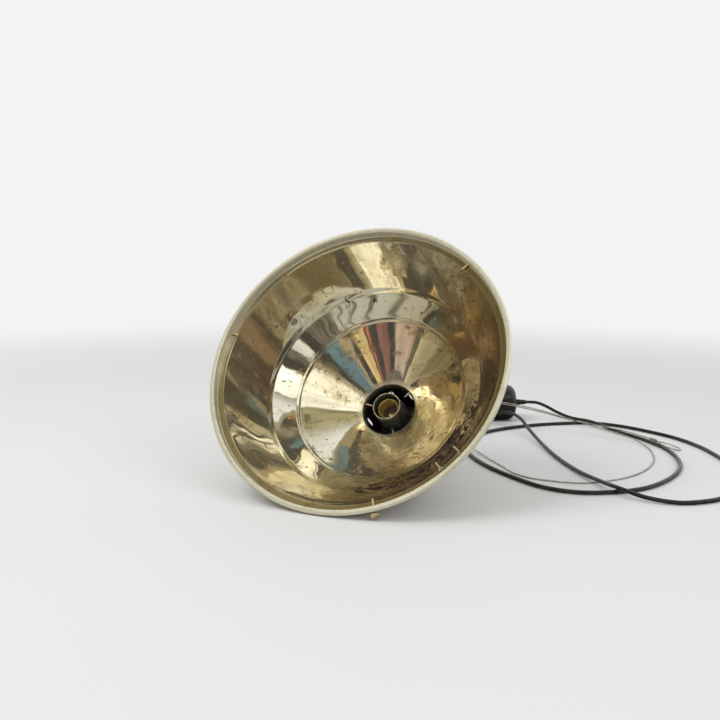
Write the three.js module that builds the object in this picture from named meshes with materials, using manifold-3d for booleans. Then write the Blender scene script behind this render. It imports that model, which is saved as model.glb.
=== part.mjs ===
import * as THREE from 'three';
import { mergeVertices } from 'three/addons/utils/BufferGeometryUtils.js';
import Module from 'manifold-3d';

// Pendant lamp made from the mirror-polished reflector of a medical lamp.
// It lies on its rim and on the edge of its rear cap, with the bowl facing -Y and up.
// Sizes are in millimetres. In the lamp's own group the axis is +Z, which runs from
// the rim plane back to the rear cap, and -Y is the side that faces up.

const wasm = await Module();
wasm.setup();

// Clearance between two pieces that touch on the real lamp
const CLEAR = 0.3;

// Reflector, a sheet-metal spinning: radii from the axis, depths behind the rim plane
const SHEET = 1.2;
const RIM_R = 200;
const BEAD_R = 3.5;
const LEDGE_DEPTH = 12.5;
const LEDGE_WIDTH = 8;
const RING_1_R = 149;
const RING_1_DEPTH = 82.5;
const RING_2_R = 119;
const RING_2_DEPTH = 113.5;
const RING_STEP = 2.2;
const HOLE_R = 38.4;
const HOLE_DEPTH = 157.5;
const HOLE_LIP_R = 4.5;
const NECK_LENGTH = 12;
const WALL_BULGE = 2;
const RIM_WIRE_R = 1.9;

// Three radial screws at the rim, which held a filter glass on the ledge
const SCREW_COUNT = 3;
const SCREW_TURN = THREE.MathUtils.degToRad(40);
const RIM_SCREW_DEPTH = 10.4;
const RIM_SCREW_R = 1.4;
const RIM_SCREW_REACH = 3;
const RIM_BUSH_R = 3;
const RIM_BUSH_LENGTH = 5;
const RIM_HEAD_R = 5.5;
const RIM_HEAD_HEIGHT = 4.6;
const RIM_HEAD_LIFT = 1.6;
// Only this one has a head; the other two end in a slot, just inside the rim's outline
const HEADED_RIM_SCREW = 1;
const RIM_STUD_INSET = 0.8;
const RIM_STUD_SLOT = 0.8;

// Three radial screws that clamp the neck of the reflector in its collar
const NECK_SCREW_R = 1.5;
const NECK_SCREW_TIP_R = 28;
const NECK_BOSS_R = 3.2;
const NECK_BOSS_HEIGHT = 4;
const NECK_HEAD_R = 4;
const NECK_HEAD_HEIGHT = 3.2;
const NECK_HEAD_LIFT = 2.2;
const SLOT_WIDTH = 1.1;
const SLOT_DEPTH = 1.2;

// Rear housing: collar with vents, closed by a cap
const COLLAR_WALL = 1.6;
const COLLAR_LENGTH = 82.85;
const VENT_COUNT = 9;
const VENT_WIDTH = 6;
const VENT_LENGTH = 26;
const VENT_DEPTH = 200;
const CAP_SHEET = 1.5;
const CAP_SKIRT = 14;
const CAP_EDGE_R = 3;
const CAP_SCREW_COUNT = 3;
const CAP_SCREW_R = 2.4;
const CAP_SCREW_HEIGHT = 1.7;

// Lampholder for a screw-cap lamp of 27 mm, on a hollow threaded nipple
const HOLDER_FRONT = 149;
const HOLDER_FRONT_R = 20.2;
const HOLDER_BACK_R = 23.2;
const HOLDER_WALL = 1;
const HOLDER_LENGTH = 46;
const HOLDER_RING_LENGTH = 5;
const HOLDER_CAP_LENGTH = 15;
const HOLDER_SHOULDER_R = 9;
const HOLDER_SHOULDER_TURN = 80;
const SLEEVE_R = 13.9;
const SLEEVE_WALL = 0.6;
const SLEEVE_FRONT = 158;
const SLEEVE_TURNS = 5;
const SLEEVE_PITCH = 3.6;
const THREAD_DEPTH = 0.8;
const INSULATOR_LENGTH = 11;
const INSULATOR_RECESS = 3;
const CONTACT_LIFT = 3;
const NIPPLE_R = 5;
const NIPPLE_BORE_R = 3.3;
const NUT_R = 8.2;
const NUT_THICK = 3;

// Cord grip, strain relief and hanger plate behind the cap
const PLATE_THICK = 1.5;
const PLATE_WIDTH = 18;
const TAB_OFFSET = 27;
const TAB_LENGTH = 18;
const TAB_HOLE_R = 2.6;
const TAB_HOLE_INSET = 6;
const GRIP_R = 8.6;
const GRIP_LENGTH = 12;
const RELIEF_LENGTH = 21;
const RELIEF_FRONT_R = 5.4;
const RELIEF_END_R = 3.6;

// Mains cable and steel suspension wire
const CABLE_R = 2.75;
const WIRE_R = 1;
const FERRULE_R = 2.6;
const FERRULE_LENGTH = 11;
const LAMP_LOOP_LENGTH = 12;
const LAMP_LOOP_HALF = 3.4;
const END_LOOP_LENGTH = 38;
const END_LOOP_HALF = 9;
const END_LOOP_TIP = [386, 386];
const END_LOOP_TURN = THREE.MathUtils.degToRad(-22);
const END_LOOP_SLOPE = THREE.MathUtils.degToRad(11.2);

// Ceiling canopy, lying on its side on the table behind the lamp
const CANOPY_R = 32;
const CANOPY_LENGTH = 58;
const CANOPY_WALL = 2.2;
const CANOPY_SHOULDER_R = 15;
const CANOPY_RELIEF_LENGTH = 20;
const CANOPY_CROWN = [102, 522];
const CANOPY_TURN = THREE.MathUtils.degToRad(22.5);
const BRACKET_WIDTH = 14;
const BRACKET_THICK = 1.5;
const BRACKET_INSET = 5;
const SIDE_SCREW_R = 1.9;
const SIDE_HEAD_R = 3.4;
const SIDE_HEAD_HEIGHT = 2.2;
const SIDE_SCREW_LENGTH = 9;
const BLOCK_SIZE = [22, 15, 13];

// Facets of round pieces
const BOWL_SIDES = 48;
const HOUSING_SIDES = 36;
const HOLDER_SIDES = 28;
const SLEEVE_SIDES = 24;
const CANOPY_SIDES = 36;
const SMALL_SIDES = 16;
const SCREW_SIDES = 10;

// Routes, as points in mm from the spot on the table below the centre of the rim
const CABLE_ROUTE = [
  [0, 251.5, 5.3], [0, 257, 3.7], [0, 264, 3], [-0.5, 285, 3.1], [-3, 335, 3.1], [1, 373, 3.2],
  [21, 419, 5], [51, 446, 14.5], [83, 458, 21], [107, 454, 25], [128, 434, 22], [154, 389, 12],
  [185, 329, 5], [224, 251, 3.2], [261, 189, 3.8], [293, 144, 6.5], [320, 111, 9], [352, 96, 5.5],
  [388, 97, 3.2], [416, 113, 3.1], [439, 138, 3], [461, 177, 3], [470, 231, 3], [464, 283, 3],
  [446, 338, 3], [417, 407, 3], [378, 461, 3], [327, 500, 3], [281, 523, 3],
  [236, 528, 3], [186, 502, 3], [136, 462, 3], [86, 394, 3], [70, 337, 3], [74, 282, 3],
  [92, 235, 3], [129, 181, 3], [178, 134, 3], [228, 100, 3], [270, 95, 3],
  [310, 112, 3], [347, 145, 3], [377, 209, 3], [388, 284, 3], [371, 366, 3],
  [332, 429, 3], [283, 471, 4.8], [237, 508, 10], [202, 529, 9.5], [176, 539, 15.5],
  [154, 540, 25.5], [139, 537, 31],
];
const WIRE_ROUTE = [
  [0, 275, 22.5], [0, 297, 10.5], [5, 314, 4.5], [20, 322, 2.2], [40, 309, 3.4], [68, 283, 8.5],
  [97, 254, 4], [126, 221, 1.6], [153, 188, 1.2], [176, 159, 1.2], [199, 144, 1.2], [225, 140, 1.2],
  [263, 143, 1.2], [294, 162, 1.2], [332, 214, 1.2], [350, 277, 1.2], [349, 341, 1.3],
  [335, 391, 2.4], [305, 426, 7], [265, 432, 15], [211, 435, 26.5], [153, 436, 39], [97, 436, 46],
  [50, 402, 52], [24, 337, 53], [18, 275, 52.5], [20, 235.5, 63.5], [19.5, 225, 71.5], [19, 212.5, 80.5],
  [18, 179.5, 101], [15, 172, 107.5], [6.5, 168, 113], [-4.5, 168, 113], [-13, 172.5, 108],
  [-16, 180, 101.5], [-15.5, 213.5, 81.5], [-14.5, 226, 73.5], [-11.5, 237, 66], [-10, 277, 50],
  [3, 339, 48], [42, 406, 46], [97, 441, 42], [153, 441.5, 35], [211, 441, 24], [250, 438, 19.5],
  [275, 432, 17.5], [292, 424.5, 17], [315, 414.5, 15],
];
const CABLE_STEPS = 80;
const WIRE_STEPS = 80;
const LOOP_STEPS = 20;

// Depths and radii that follow from the sizes above
const RIM_WALL_R = RIM_R - BEAD_R * 2;
const LEDGE_IN_R = RIM_WALL_R - LEDGE_WIDTH;
const RIM_SCREW_TIP_R = LEDGE_IN_R - RIM_SCREW_REACH;
const RIM_HEAD_UNDER_R = RIM_R + RIM_HEAD_LIFT;
const NECK_OUT_R = HOLE_R + SHEET;
const COLLAR_IN_R = NECK_OUT_R + CLEAR;
const COLLAR_R = COLLAR_IN_R + COLLAR_WALL;
const COLLAR_FRONT = HOLE_DEPTH + HOLE_LIP_R;
const COLLAR_BACK = COLLAR_FRONT + COLLAR_LENGTH;
const NECK_SCREW_DEPTH = COLLAR_FRONT + NECK_BOSS_R + CLEAR;
const CAP_IN = COLLAR_BACK + CLEAR;
const CAP_BACK = CAP_IN + CAP_SHEET;
const CAP_R = COLLAR_R + CLEAR + CAP_SHEET;
const NECK_HEAD_UNDER_R = COLLAR_R + NECK_BOSS_HEIGHT + NECK_HEAD_LIFT;
const HOLDER_BACK = HOLDER_FRONT + HOLDER_LENGTH;
const HOLDER_END = HOLDER_BACK + HOLDER_CAP_LENGTH;
const SLEEVE_BACK = SLEEVE_FRONT + (SLEEVE_TURNS + 1) * SLEEVE_PITCH;
const NIPPLE_START = HOLDER_END - 4;
const PLATE_FRONT = CAP_BACK + CLEAR;
const OUTER_NUT_FRONT = PLATE_FRONT + PLATE_THICK + CLEAR;
const GRIP_FRONT = OUTER_NUT_FRONT + NUT_THICK + CLEAR;
const RELIEF_FRONT = GRIP_FRONT + GRIP_LENGTH + CLEAR;
const CABLE_START = RELIEF_FRONT + RELIEF_LENGTH + CLEAR;

const finish = {
  mirror: new THREE.MeshStandardMaterial({ color: 0xc6ba98, roughness: 0.12, metalness: 1 }),
  nickel: new THREE.MeshStandardMaterial({ color: 0xb8b4a6, roughness: 0.25, metalness: 1 }),
  brass: new THREE.MeshStandardMaterial({ color: 0xb08d3c, roughness: 0.3, metalness: 1 }),
  steel: new THREE.MeshStandardMaterial({ color: 0x9a9a98, roughness: 0.35, metalness: 1 }),
  enamel: new THREE.MeshStandardMaterial({ color: 0x17181a, roughness: 0.35, metalness: 0.1 }),
  gunmetal: new THREE.MeshStandardMaterial({ color: 0x3b3d3c, roughness: 0.4, metalness: 0.8 }),
  ceramic: new THREE.MeshStandardMaterial({ color: 0x5a4a3c, roughness: 0.6, metalness: 0 }),
  plastic: new THREE.MeshStandardMaterial({ color: 0x141416, roughness: 0.4, metalness: 0 }),
  cable: new THREE.MeshStandardMaterial({ color: 0x1b1b1b, roughness: 0.45, metalness: 0 }),
  wire: new THREE.MeshStandardMaterial({ color: 0xa8a8a4, roughness: 0.35, metalness: 1 }),
};

// Points of an arc round (r, z), from one angle to another in degrees
function arc(r, z, radius, from, to, count) {
  const points = [];
  for (let i = 0; i <= count; i += 1) {
    const a = THREE.MathUtils.degToRad(from + (to - from) * i / count);
    points.push([r + radius * Math.cos(a), z + radius * Math.sin(a)]);
  }
  return points;
}

// The same open line, moved sideways by a distance, with mitred corners
function offsetLine(line, distance) {
  return line.map(([r, z], i) => {
    const before = line[Math.max(i - 1, 0)];
    const after = line[Math.min(i + 1, line.length - 1)];
    const a = new THREE.Vector2(r - before[0], z - before[1]);
    const b = new THREE.Vector2(after[0] - r, after[1] - z);
    if (i === 0) a.copy(b);
    if (i === line.length - 1) b.copy(a);
    a.normalize();
    b.normalize();
    const along = a.clone().add(b).normalize();
    const reach = distance / Math.max(along.dot(a), 0.5);
    return [r + along.y * reach, z - along.x * reach];
  });
}

// A closed profile of [radius, z] points turned round +Z. Its flats touch the given radii,
// and one flat faces each of -Y and +Y.
function revolve(profile, sides = SMALL_SIDES) {
  const closed = [...profile];
  const first = closed[0];
  const last = closed[closed.length - 1];
  const onAxis = first[0] === 0 && last[0] === 0;
  if (!onAxis) closed.push(first);
  let area = 0;
  for (let i = 0; i < closed.length; i += 1) {
    const [r0, z0] = closed[i];
    const [r1, z1] = closed[(i + 1) % closed.length];
    area += r0 * z1 - r1 * z0;
  }
  if (area < 0) closed.reverse();
  const widen = 1 / Math.cos(Math.PI / sides);
  const points = closed.map(([r, z]) => new THREE.Vector2(r * widen, z));
  const geometry = new THREE.LatheGeometry(points, sides, Math.PI / sides);
  geometry.rotateX(Math.PI / 2);
  return tidy(geometry);
}

// Merged vertices, position only, and no triangle without area
function tidy(geometry) {
  const bare = new THREE.BufferGeometry();
  bare.setAttribute('position', geometry.getAttribute('position').clone());
  if (geometry.index) bare.setIndex(geometry.index.clone());
  const merged = mergeVertices(bare, 1e-4);
  const kept = [];
  const index = merged.index.array;
  for (let i = 0; i < index.length; i += 3) {
    const [a, b, c] = [index[i], index[i + 1], index[i + 2]];
    if (a !== b && b !== c && c !== a) kept.push(a, b, c);
  }
  merged.setIndex(kept);
  return merged;
}

function toSolid(geometry) {
  const merged = tidy(geometry);
  return new wasm.Manifold(new wasm.Mesh({
    numProp: 3,
    vertProperties: new Float32Array(merged.getAttribute('position').array),
    triVerts: new Uint32Array(merged.index.array),
  }));
}

function fromSolid(solid) {
  const mesh = solid.getMesh();
  const geometry = new THREE.BufferGeometry();
  geometry.setAttribute('position', new THREE.BufferAttribute(new Float32Array(mesh.vertProperties), 3));
  geometry.setIndex(Array.from(mesh.triVerts));
  return geometry;
}

function cut(geometry, cutters) {
  let solid = toSolid(geometry);
  for (const cutter of cutters) solid = solid.subtract(toSolid(cutter));
  return fromSolid(solid);
}

function join(geometries) {
  let solid = toSolid(geometries[0]);
  for (const other of geometries.slice(1)) solid = solid.add(toSolid(other));
  return fromSolid(solid);
}

// A solid bar of round section along +Z from one height to another
function rod(radius, from, to, sides = SMALL_SIDES) {
  return revolve([[0, from], [radius, from], [radius, to], [0, to]], sides);
}

function block(x, y, z, at = [0, 0, 0]) {
  return new THREE.BoxGeometry(x, y, z).translate(...at);
}

// A geometry made along +Z, laid along the radius that points up (-Y), at a depth
function layRadial(geometry, depth) {
  return geometry.rotateX(Math.PI / 2).translate(0, 0, depth);
}

// Angle of screw number i, from the top of the lamp
function screwAngle(i) {
  return SCREW_TURN + i * 2 * Math.PI / SCREW_COUNT;
}

function turned(geometry, angle) {
  return geometry.rotateZ(angle);
}

function mesh(name, geometry, material) {
  const made = new THREE.Mesh(geometry, material);
  made.name = name;
  return made;
}

// Cross-section of the reflector's bright face, from the neck out to the bead
function brightLine() {
  const slope = Math.atan2(HOLE_DEPTH - RING_2_DEPTH, RING_2_R - HOLE_R);
  const lipAngle = THREE.MathUtils.radToDeg(slope);
  const lip = arc(HOLE_R + HOLE_LIP_R, HOLE_DEPTH + HOLE_LIP_R, HOLE_LIP_R, 180, 270 - lipAngle, 3);
  const ring2 = [
    [RING_2_R - RING_STEP, RING_2_DEPTH + RING_STEP * 0.5],
    [RING_2_R - RING_STEP * 0.3, RING_2_DEPTH - RING_STEP * 0.5],
    [RING_2_R + RING_STEP, RING_2_DEPTH - RING_STEP * 1.2],
  ];
  const ring1 = [
    [RING_1_R - RING_STEP, RING_1_DEPTH + RING_STEP],
    [RING_1_R - RING_STEP * 0.2, RING_1_DEPTH - RING_STEP * 0.3],
    [RING_1_R + RING_STEP * 0.9, RING_1_DEPTH - RING_STEP * 1.6],
  ];
  const wallTop = new THREE.Vector2(LEDGE_IN_R, LEDGE_DEPTH);
  const wallFoot = new THREE.Vector2(RING_1_R + RING_STEP * 0.9, RING_1_DEPTH - RING_STEP * 1.6);
  const side = wallTop.clone().sub(wallFoot);
  const bulge = new THREE.Vector2(side.y, -side.x).normalize().multiplyScalar(-WALL_BULGE * 2);
  const control = wallTop.clone().add(wallFoot).multiplyScalar(0.5).add(bulge);
  const wall = new THREE.QuadraticBezierCurve(wallFoot, control, wallTop).getPoints(5).slice(1);
  return [
    [HOLE_R, HOLE_DEPTH + NECK_LENGTH],
    ...lip,
    ...ring2,
    ...ring1,
    ...wall.map((p) => [p.x, p.y]),
    [RIM_WALL_R, LEDGE_DEPTH],
    [RIM_WALL_R, BEAD_R],
  ];
}

function reflectorGeometry() {
  const bright = brightLine();
  const dull = offsetLine(bright, -SHEET);
  const bead = RIM_R - BEAD_R;
  const rollOut = arc(bead, BEAD_R, BEAD_R, 180, 470, 7).slice(1);
  const rollIn = arc(bead, BEAD_R, BEAD_R - SHEET, 470, 180, 5).slice(0, -1);
  const shell = revolve([...bright, ...rollOut, ...rollIn, ...dull.reverse()], BOWL_SIDES);
  const holes = [];
  for (let i = 0; i < SCREW_COUNT; i += 1) {
    const rimHole = rod(RIM_SCREW_R + CLEAR, LEDGE_IN_R - 10, RIM_R - 1, 10);
    holes.push(turned(layRadial(rimHole, RIM_SCREW_DEPTH), screwAngle(i)));
    const neckHole = rod(NECK_SCREW_R + CLEAR, HOLE_R - 4, NECK_OUT_R + 2, 10);
    holes.push(turned(layRadial(neckHole, NECK_SCREW_DEPTH), screwAngle(i)));
  }
  return cut(shell, holes);
}

// The wire that stiffens the rolled bead
function rimWireGeometry() {
  return revolve(arc(RIM_R - BEAD_R, BEAD_R, RIM_WIRE_R, 0, 300, 5), BOWL_SIDES);
}

// A threaded bush riveted to the outside of the rim wall
function rimBushGeometry() {
  const seat = (RIM_WALL_R + SHEET) / Math.cos(Math.PI / BOWL_SIDES) + CLEAR / 2;
  const end = seat + RIM_BUSH_LENGTH;
  const bore = RIM_SCREW_R + CLEAR;
  const profile = [[bore, seat], [RIM_BUSH_R, seat], [RIM_BUSH_R, end - 1], [RIM_BUSH_R - 1, end], [bore, end]];
  return layRadial(revolve(profile, 12), RIM_SCREW_DEPTH);
}

// A long screw with a domed, slotted head
function domedScrew(shank, tip, under, headR, headHeight) {
  const dome = [];
  const steps = 3;
  for (let i = 0; i <= steps; i += 1) {
    const a = i / steps * Math.PI / 2;
    dome.push([headR * Math.cos(a), under + headHeight * (0.35 + 0.65 * Math.sin(a))]);
  }
  dome[steps][0] = 0;
  const profile = [[0, tip], [shank * 0.6, tip], [shank, tip + shank * 0.6], [shank, under], [headR, under], ...dome];
  const slot = block(headR * 2.4, SLOT_WIDTH, SLOT_DEPTH * 2, [0, 0, under + headHeight]);
  return cut(revolve(profile, SCREW_SIDES), [slot]);
}

// A headless screw with a slot across its outer end
function slottedStud(shank, tip, end) {
  const profile = [[0, tip], [shank * 0.6, tip], [shank, tip + shank * 0.6], [shank, end], [0, end]];
  const slot = block(shank * 3, RIM_STUD_SLOT, SLOT_DEPTH * 2, [0, 0, end]);
  return cut(revolve(profile, SCREW_SIDES), [slot]);
}

function rimScrewGeometry(i) {
  const screw = i === HEADED_RIM_SCREW
    ? domedScrew(RIM_SCREW_R, RIM_SCREW_TIP_R, RIM_HEAD_UNDER_R, RIM_HEAD_R, RIM_HEAD_HEIGHT)
    : slottedStud(RIM_SCREW_R, RIM_SCREW_TIP_R, RIM_R - RIM_STUD_INSET);
  return layRadial(screw, RIM_SCREW_DEPTH);
}

function neckScrewGeometry() {
  const screw = domedScrew(NECK_SCREW_R, NECK_SCREW_TIP_R, NECK_HEAD_UNDER_R, NECK_HEAD_R, NECK_HEAD_HEIGHT);
  return layRadial(screw, NECK_SCREW_DEPTH);
}

// The collar: a tube with a row of vents and three threaded bosses
function collarGeometry() {
  const tube = revolve([
    [COLLAR_IN_R, COLLAR_FRONT],
    [COLLAR_R, COLLAR_FRONT],
    [COLLAR_R, COLLAR_BACK],
    [COLLAR_IN_R, COLLAR_BACK],
  ], HOUSING_SIDES);
  const bosses = [];
  const bores = [];
  for (let i = 0; i < SCREW_COUNT; i += 1) {
    const boss = rod(NECK_BOSS_R, COLLAR_R - COLLAR_WALL / 2, COLLAR_R + NECK_BOSS_HEIGHT, 12);
    bosses.push(turned(layRadial(boss, NECK_SCREW_DEPTH), screwAngle(i)));
    const bore = rod(NECK_SCREW_R + CLEAR, COLLAR_IN_R - 5, COLLAR_R + NECK_BOSS_HEIGHT + 5, 10);
    bores.push(turned(layRadial(bore, NECK_SCREW_DEPTH), screwAngle(i)));
  }
  const vents = [];
  for (let i = 0; i < VENT_COUNT; i += 1) {
    const half = VENT_LENGTH / 2 - VENT_WIDTH / 2;
    const outline = new THREE.Shape();
    outline.absarc(0, half, VENT_WIDTH / 2, 0, Math.PI);
    outline.absarc(0, -half, VENT_WIDTH / 2, Math.PI, 2 * Math.PI);
    const vent = new THREE.ExtrudeGeometry(outline, { depth: COLLAR_WALL * 6, bevelEnabled: false, curveSegments: 4 });
    vent.translate(0, 0, COLLAR_IN_R - COLLAR_WALL * 2);
    vents.push(turned(layRadial(vent, VENT_DEPTH), (i + 0.5) * 2 * Math.PI / VENT_COUNT));
  }
  return cut(join([tube, ...bosses]), [...bores, ...vents]);
}

function capGeometry() {
  const skirtIn = COLLAR_R + CLEAR;
  const edge = arc(CAP_R - CAP_EDGE_R, CAP_BACK - CAP_EDGE_R, CAP_EDGE_R, 0, 90, 4);
  const shell = revolve([
    [NIPPLE_R + CLEAR, CAP_IN],
    [skirtIn, CAP_IN],
    [skirtIn, CAP_BACK - CAP_SKIRT],
    [CAP_R, CAP_BACK - CAP_SKIRT],
    ...edge,
    [NIPPLE_R + CLEAR, CAP_BACK],
  ], HOUSING_SIDES);
  return shell;
}

// A small round-headed screw on the skirt of the cap
function capScrewGeometry(turn) {
  const seat = CAP_R / Math.cos(Math.PI / HOUSING_SIDES) + CLEAR / 3;
  const head = revolve([
    [0, seat],
    [CAP_SCREW_R, seat],
    [CAP_SCREW_R * 0.9, seat + CAP_SCREW_HEIGHT * 0.5],
    [CAP_SCREW_R * 0.5, seat + CAP_SCREW_HEIGHT * 0.9],
    [0, seat + CAP_SCREW_HEIGHT],
  ], 10);
  return turned(layRadial(head, CAP_BACK - CAP_SKIRT / 2), turn);
}

function holderShellGeometry() {
  const front = HOLDER_FRONT + HOLDER_RING_LENGTH + CLEAR;
  return revolve([
    [HOLDER_FRONT_R - HOLDER_WALL, front],
    [HOLDER_FRONT_R, front],
    [HOLDER_BACK_R, HOLDER_BACK],
    [HOLDER_BACK_R - HOLDER_WALL, HOLDER_BACK],
  ], HOLDER_SIDES);
}

// The rolled front ring of the lampholder
function holderRingGeometry() {
  const back = HOLDER_FRONT + HOLDER_RING_LENGTH;
  const roll = HOLDER_WALL * 0.8;
  return revolve([
    [HOLDER_FRONT_R - HOLDER_WALL, back],
    [HOLDER_FRONT_R - HOLDER_WALL * 1.6, HOLDER_FRONT + roll],
    ...arc(HOLDER_FRONT_R - roll, HOLDER_FRONT + roll, roll, 180, 360, 3),
    [HOLDER_FRONT_R, back],
  ], HOLDER_SIDES);
}

function holderCapGeometry() {
  const seat = HOLDER_BACK + CLEAR;
  const outer = [
    [HOLDER_BACK_R, seat],
    [HOLDER_BACK_R, seat + 3],
    ...arc(HOLDER_BACK_R - HOLDER_SHOULDER_R, seat + 3, HOLDER_SHOULDER_R, 0, HOLDER_SHOULDER_TURN, 4).slice(1),
    [NIPPLE_R + 3, HOLDER_END - 1],
    [NIPPLE_R + 3, HOLDER_END + 4],
    [NIPPLE_R + CLEAR, HOLDER_END + 4],
    [NIPPLE_R + CLEAR, HOLDER_END - 3],
    [HOLDER_BACK_R - 7, seat + 7],
    [HOLDER_BACK_R - HOLDER_WALL, seat + 2],
    [HOLDER_BACK_R - HOLDER_WALL, seat],
  ];
  return revolve(outer, HOLDER_SIDES);
}

// The threaded sleeve that takes the lamp cap: a tube with round thread rolls
function sleeveGeometry() {
  const inner = [];
  const outer = [];
  for (let i = 0; i < SLEEVE_TURNS; i += 1) {
    const z = SLEEVE_FRONT + (i + 0.5) * SLEEVE_PITCH;
    inner.push([SLEEVE_R - SLEEVE_WALL, z], [SLEEVE_R - SLEEVE_WALL - THREAD_DEPTH, z + SLEEVE_PITCH / 2]);
    outer.push([SLEEVE_R, z], [SLEEVE_R - THREAD_DEPTH, z + SLEEVE_PITCH / 2]);
  }
  const start = [[SLEEVE_R + 0.8, SLEEVE_FRONT], [SLEEVE_R + 0.2, SLEEVE_FRONT]];
  const end = [[SLEEVE_R - SLEEVE_WALL, SLEEVE_BACK], [SLEEVE_R, SLEEVE_BACK]];
  return revolve([start[1], ...inner, ...end, ...outer.reverse(), start[0]], SLEEVE_SIDES);
}

// The insulator that holds the sleeve and the contacts
function insulatorGeometry() {
  const front = SLEEVE_BACK + CLEAR;
  const back = front + INSULATOR_LENGTH;
  const widening = (HOLDER_BACK_R - HOLDER_FRONT_R) * (SLEEVE_BACK - HOLDER_FRONT) / HOLDER_LENGTH;
  const radius = HOLDER_FRONT_R + widening - HOLDER_WALL - CLEAR;
  return revolve([
    [0, front + INSULATOR_RECESS],
    [SLEEVE_R - 3, front + INSULATOR_RECESS],
    [SLEEVE_R - 2, front],
    [radius, front],
    [radius, back],
    [0, back],
  ], SLEEVE_SIDES);
}

function centreContactGeometry() {
  const base = SLEEVE_BACK + INSULATOR_RECESS;
  const width = 5;
  const outline = new THREE.Shape();
  outline.moveTo(-6, base);
  outline.lineTo(-6, base - 0.6);
  outline.lineTo(-1, base - 0.6);
  outline.quadraticCurveTo(2, base - 0.6, 2.6, base - CONTACT_LIFT);
  outline.lineTo(3.2, base - CONTACT_LIFT);
  outline.quadraticCurveTo(3, base, -1, base);
  outline.closePath();
  const strip = new THREE.ExtrudeGeometry(outline, { depth: width, bevelEnabled: false, curveSegments: 5 });
  strip.translate(0, 0, -width / 2);
  return strip.rotateX(Math.PI / 2);
}

// A brass terminal with its screw, on one side behind the insulator
function terminalGeometry(side) {
  const base = SLEEVE_BACK + CLEAR + INSULATOR_LENGTH + CLEAR;
  const plate = block(7, 7, 3, [side * 8, 0, base + 1.5]);
  const screw = rod(2.2, base + 2, base + 5.2, 10).translate(side * 8, 0, 0);
  return join([plate, screw]);
}

function nippleGeometry() {
  const end = GRIP_FRONT + 6;
  return revolve([
    [NIPPLE_BORE_R, NIPPLE_START],
    [NIPPLE_R, NIPPLE_START],
    [NIPPLE_R, end],
    [NIPPLE_BORE_R, end],
  ], SMALL_SIDES);
}

function hexNut(front) {
  const outline = new THREE.Shape();
  for (let i = 0; i < 6; i += 1) {
    const a = i * Math.PI / 3;
    const point = [NUT_R * Math.cos(a), NUT_R * Math.sin(a)];
    if (i === 0) outline.moveTo(...point);
    else outline.lineTo(...point);
  }
  outline.closePath();
  const hole = new THREE.Path();
  hole.absarc(0, 0, (NIPPLE_R + CLEAR) * 1.02, 0, Math.PI * 2);
  outline.holes.push(hole);
  const nut = new THREE.ExtrudeGeometry(outline, { depth: NUT_THICK, bevelEnabled: false, curveSegments: 24 });
  return nut.translate(0, 0, front);
}

// The hanger: a strip under the outer nut, bent back into a tab with a hole for the wire
function hangerGeometry() {
  const half = PLATE_WIDTH / 2;
  const foot = new THREE.Shape();
  foot.absarc(0, 0, half, 0, Math.PI);
  foot.lineTo(-half, -TAB_OFFSET - PLATE_THICK);
  foot.lineTo(half, -TAB_OFFSET - PLATE_THICK);
  foot.closePath();
  const hole = new THREE.Path();
  hole.absarc(0, 0, (NIPPLE_R + CLEAR) * 1.02, 0, Math.PI * 2);
  foot.holes.push(hole);
  const footSolid = new THREE.ExtrudeGeometry(foot, { depth: PLATE_THICK, bevelEnabled: false, curveSegments: 12 });
  footSolid.translate(0, 0, PLATE_FRONT);
  const tab = new THREE.Shape();
  tab.moveTo(-half, 0);
  tab.lineTo(half, 0);
  tab.absarc(half - 4, TAB_LENGTH - 4, 4, 0, Math.PI / 2);
  tab.absarc(-half + 4, TAB_LENGTH - 4, 4, Math.PI / 2, Math.PI);
  tab.closePath();
  const eye = new THREE.Path();
  eye.absarc(0, TAB_LENGTH - TAB_HOLE_INSET, TAB_HOLE_R, 0, Math.PI * 2);
  tab.holes.push(eye);
  const tabSolid = new THREE.ExtrudeGeometry(tab, { depth: PLATE_THICK, bevelEnabled: false, curveSegments: 8 });
  tabSolid.rotateX(Math.PI / 2);
  tabSolid.translate(0, -TAB_OFFSET, PLATE_FRONT);
  return join([footSolid, tabSolid]);
}

function gripGeometry() {
  const end = GRIP_FRONT + GRIP_LENGTH;
  return revolve([
    [NIPPLE_R + CLEAR, GRIP_FRONT],
    [GRIP_R, GRIP_FRONT],
    [GRIP_R, end - 4],
    [GRIP_R - 1.2, end],
    [0, end],
    [0, GRIP_FRONT + 7],
    [NIPPLE_R + CLEAR, GRIP_FRONT + 7],
  ], SMALL_SIDES);
}

// A tapered, ribbed strain relief of the length given, starting at z
function reliefGeometry(z, length, startR, endR) {
  const ribs = 4;
  const profile = [[0, z]];
  for (let i = 0; i < ribs; i += 1) {
    const from = i / ribs;
    const to = (i + 0.62) / ribs;
    const radius = startR + (endR - startR) * from;
    profile.push([radius, z + length * from], [radius, z + length * to]);
    profile.push([radius - 0.7, z + length * to], [radius - 0.7, z + length * (i + 1) / ribs]);
  }
  profile[profile.length - 1][0] = endR - 0.7;
  profile.push([0, z + length]);
  return revolve(profile, 12);
}

// A tube of round section along a curve, closed at both ends
function tube(curve, radius, sides, steps) {
  const section = new THREE.Shape();
  for (let i = 0; i < sides; i += 1) {
    const a = (i + 0.5) * 2 * Math.PI / sides;
    const point = [radius * Math.cos(a), radius * Math.sin(a)];
    if (i === 0) section.moveTo(...point);
    else section.lineTo(...point);
  }
  section.closePath();
  return new THREE.ExtrudeGeometry(section, { steps, extrudePath: curve, bevelEnabled: false });
}

function curveThrough(points) {
  return new THREE.CatmullRomCurve3(points.map((p) => new THREE.Vector3(...p)), false, 'centripetal');
}

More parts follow.
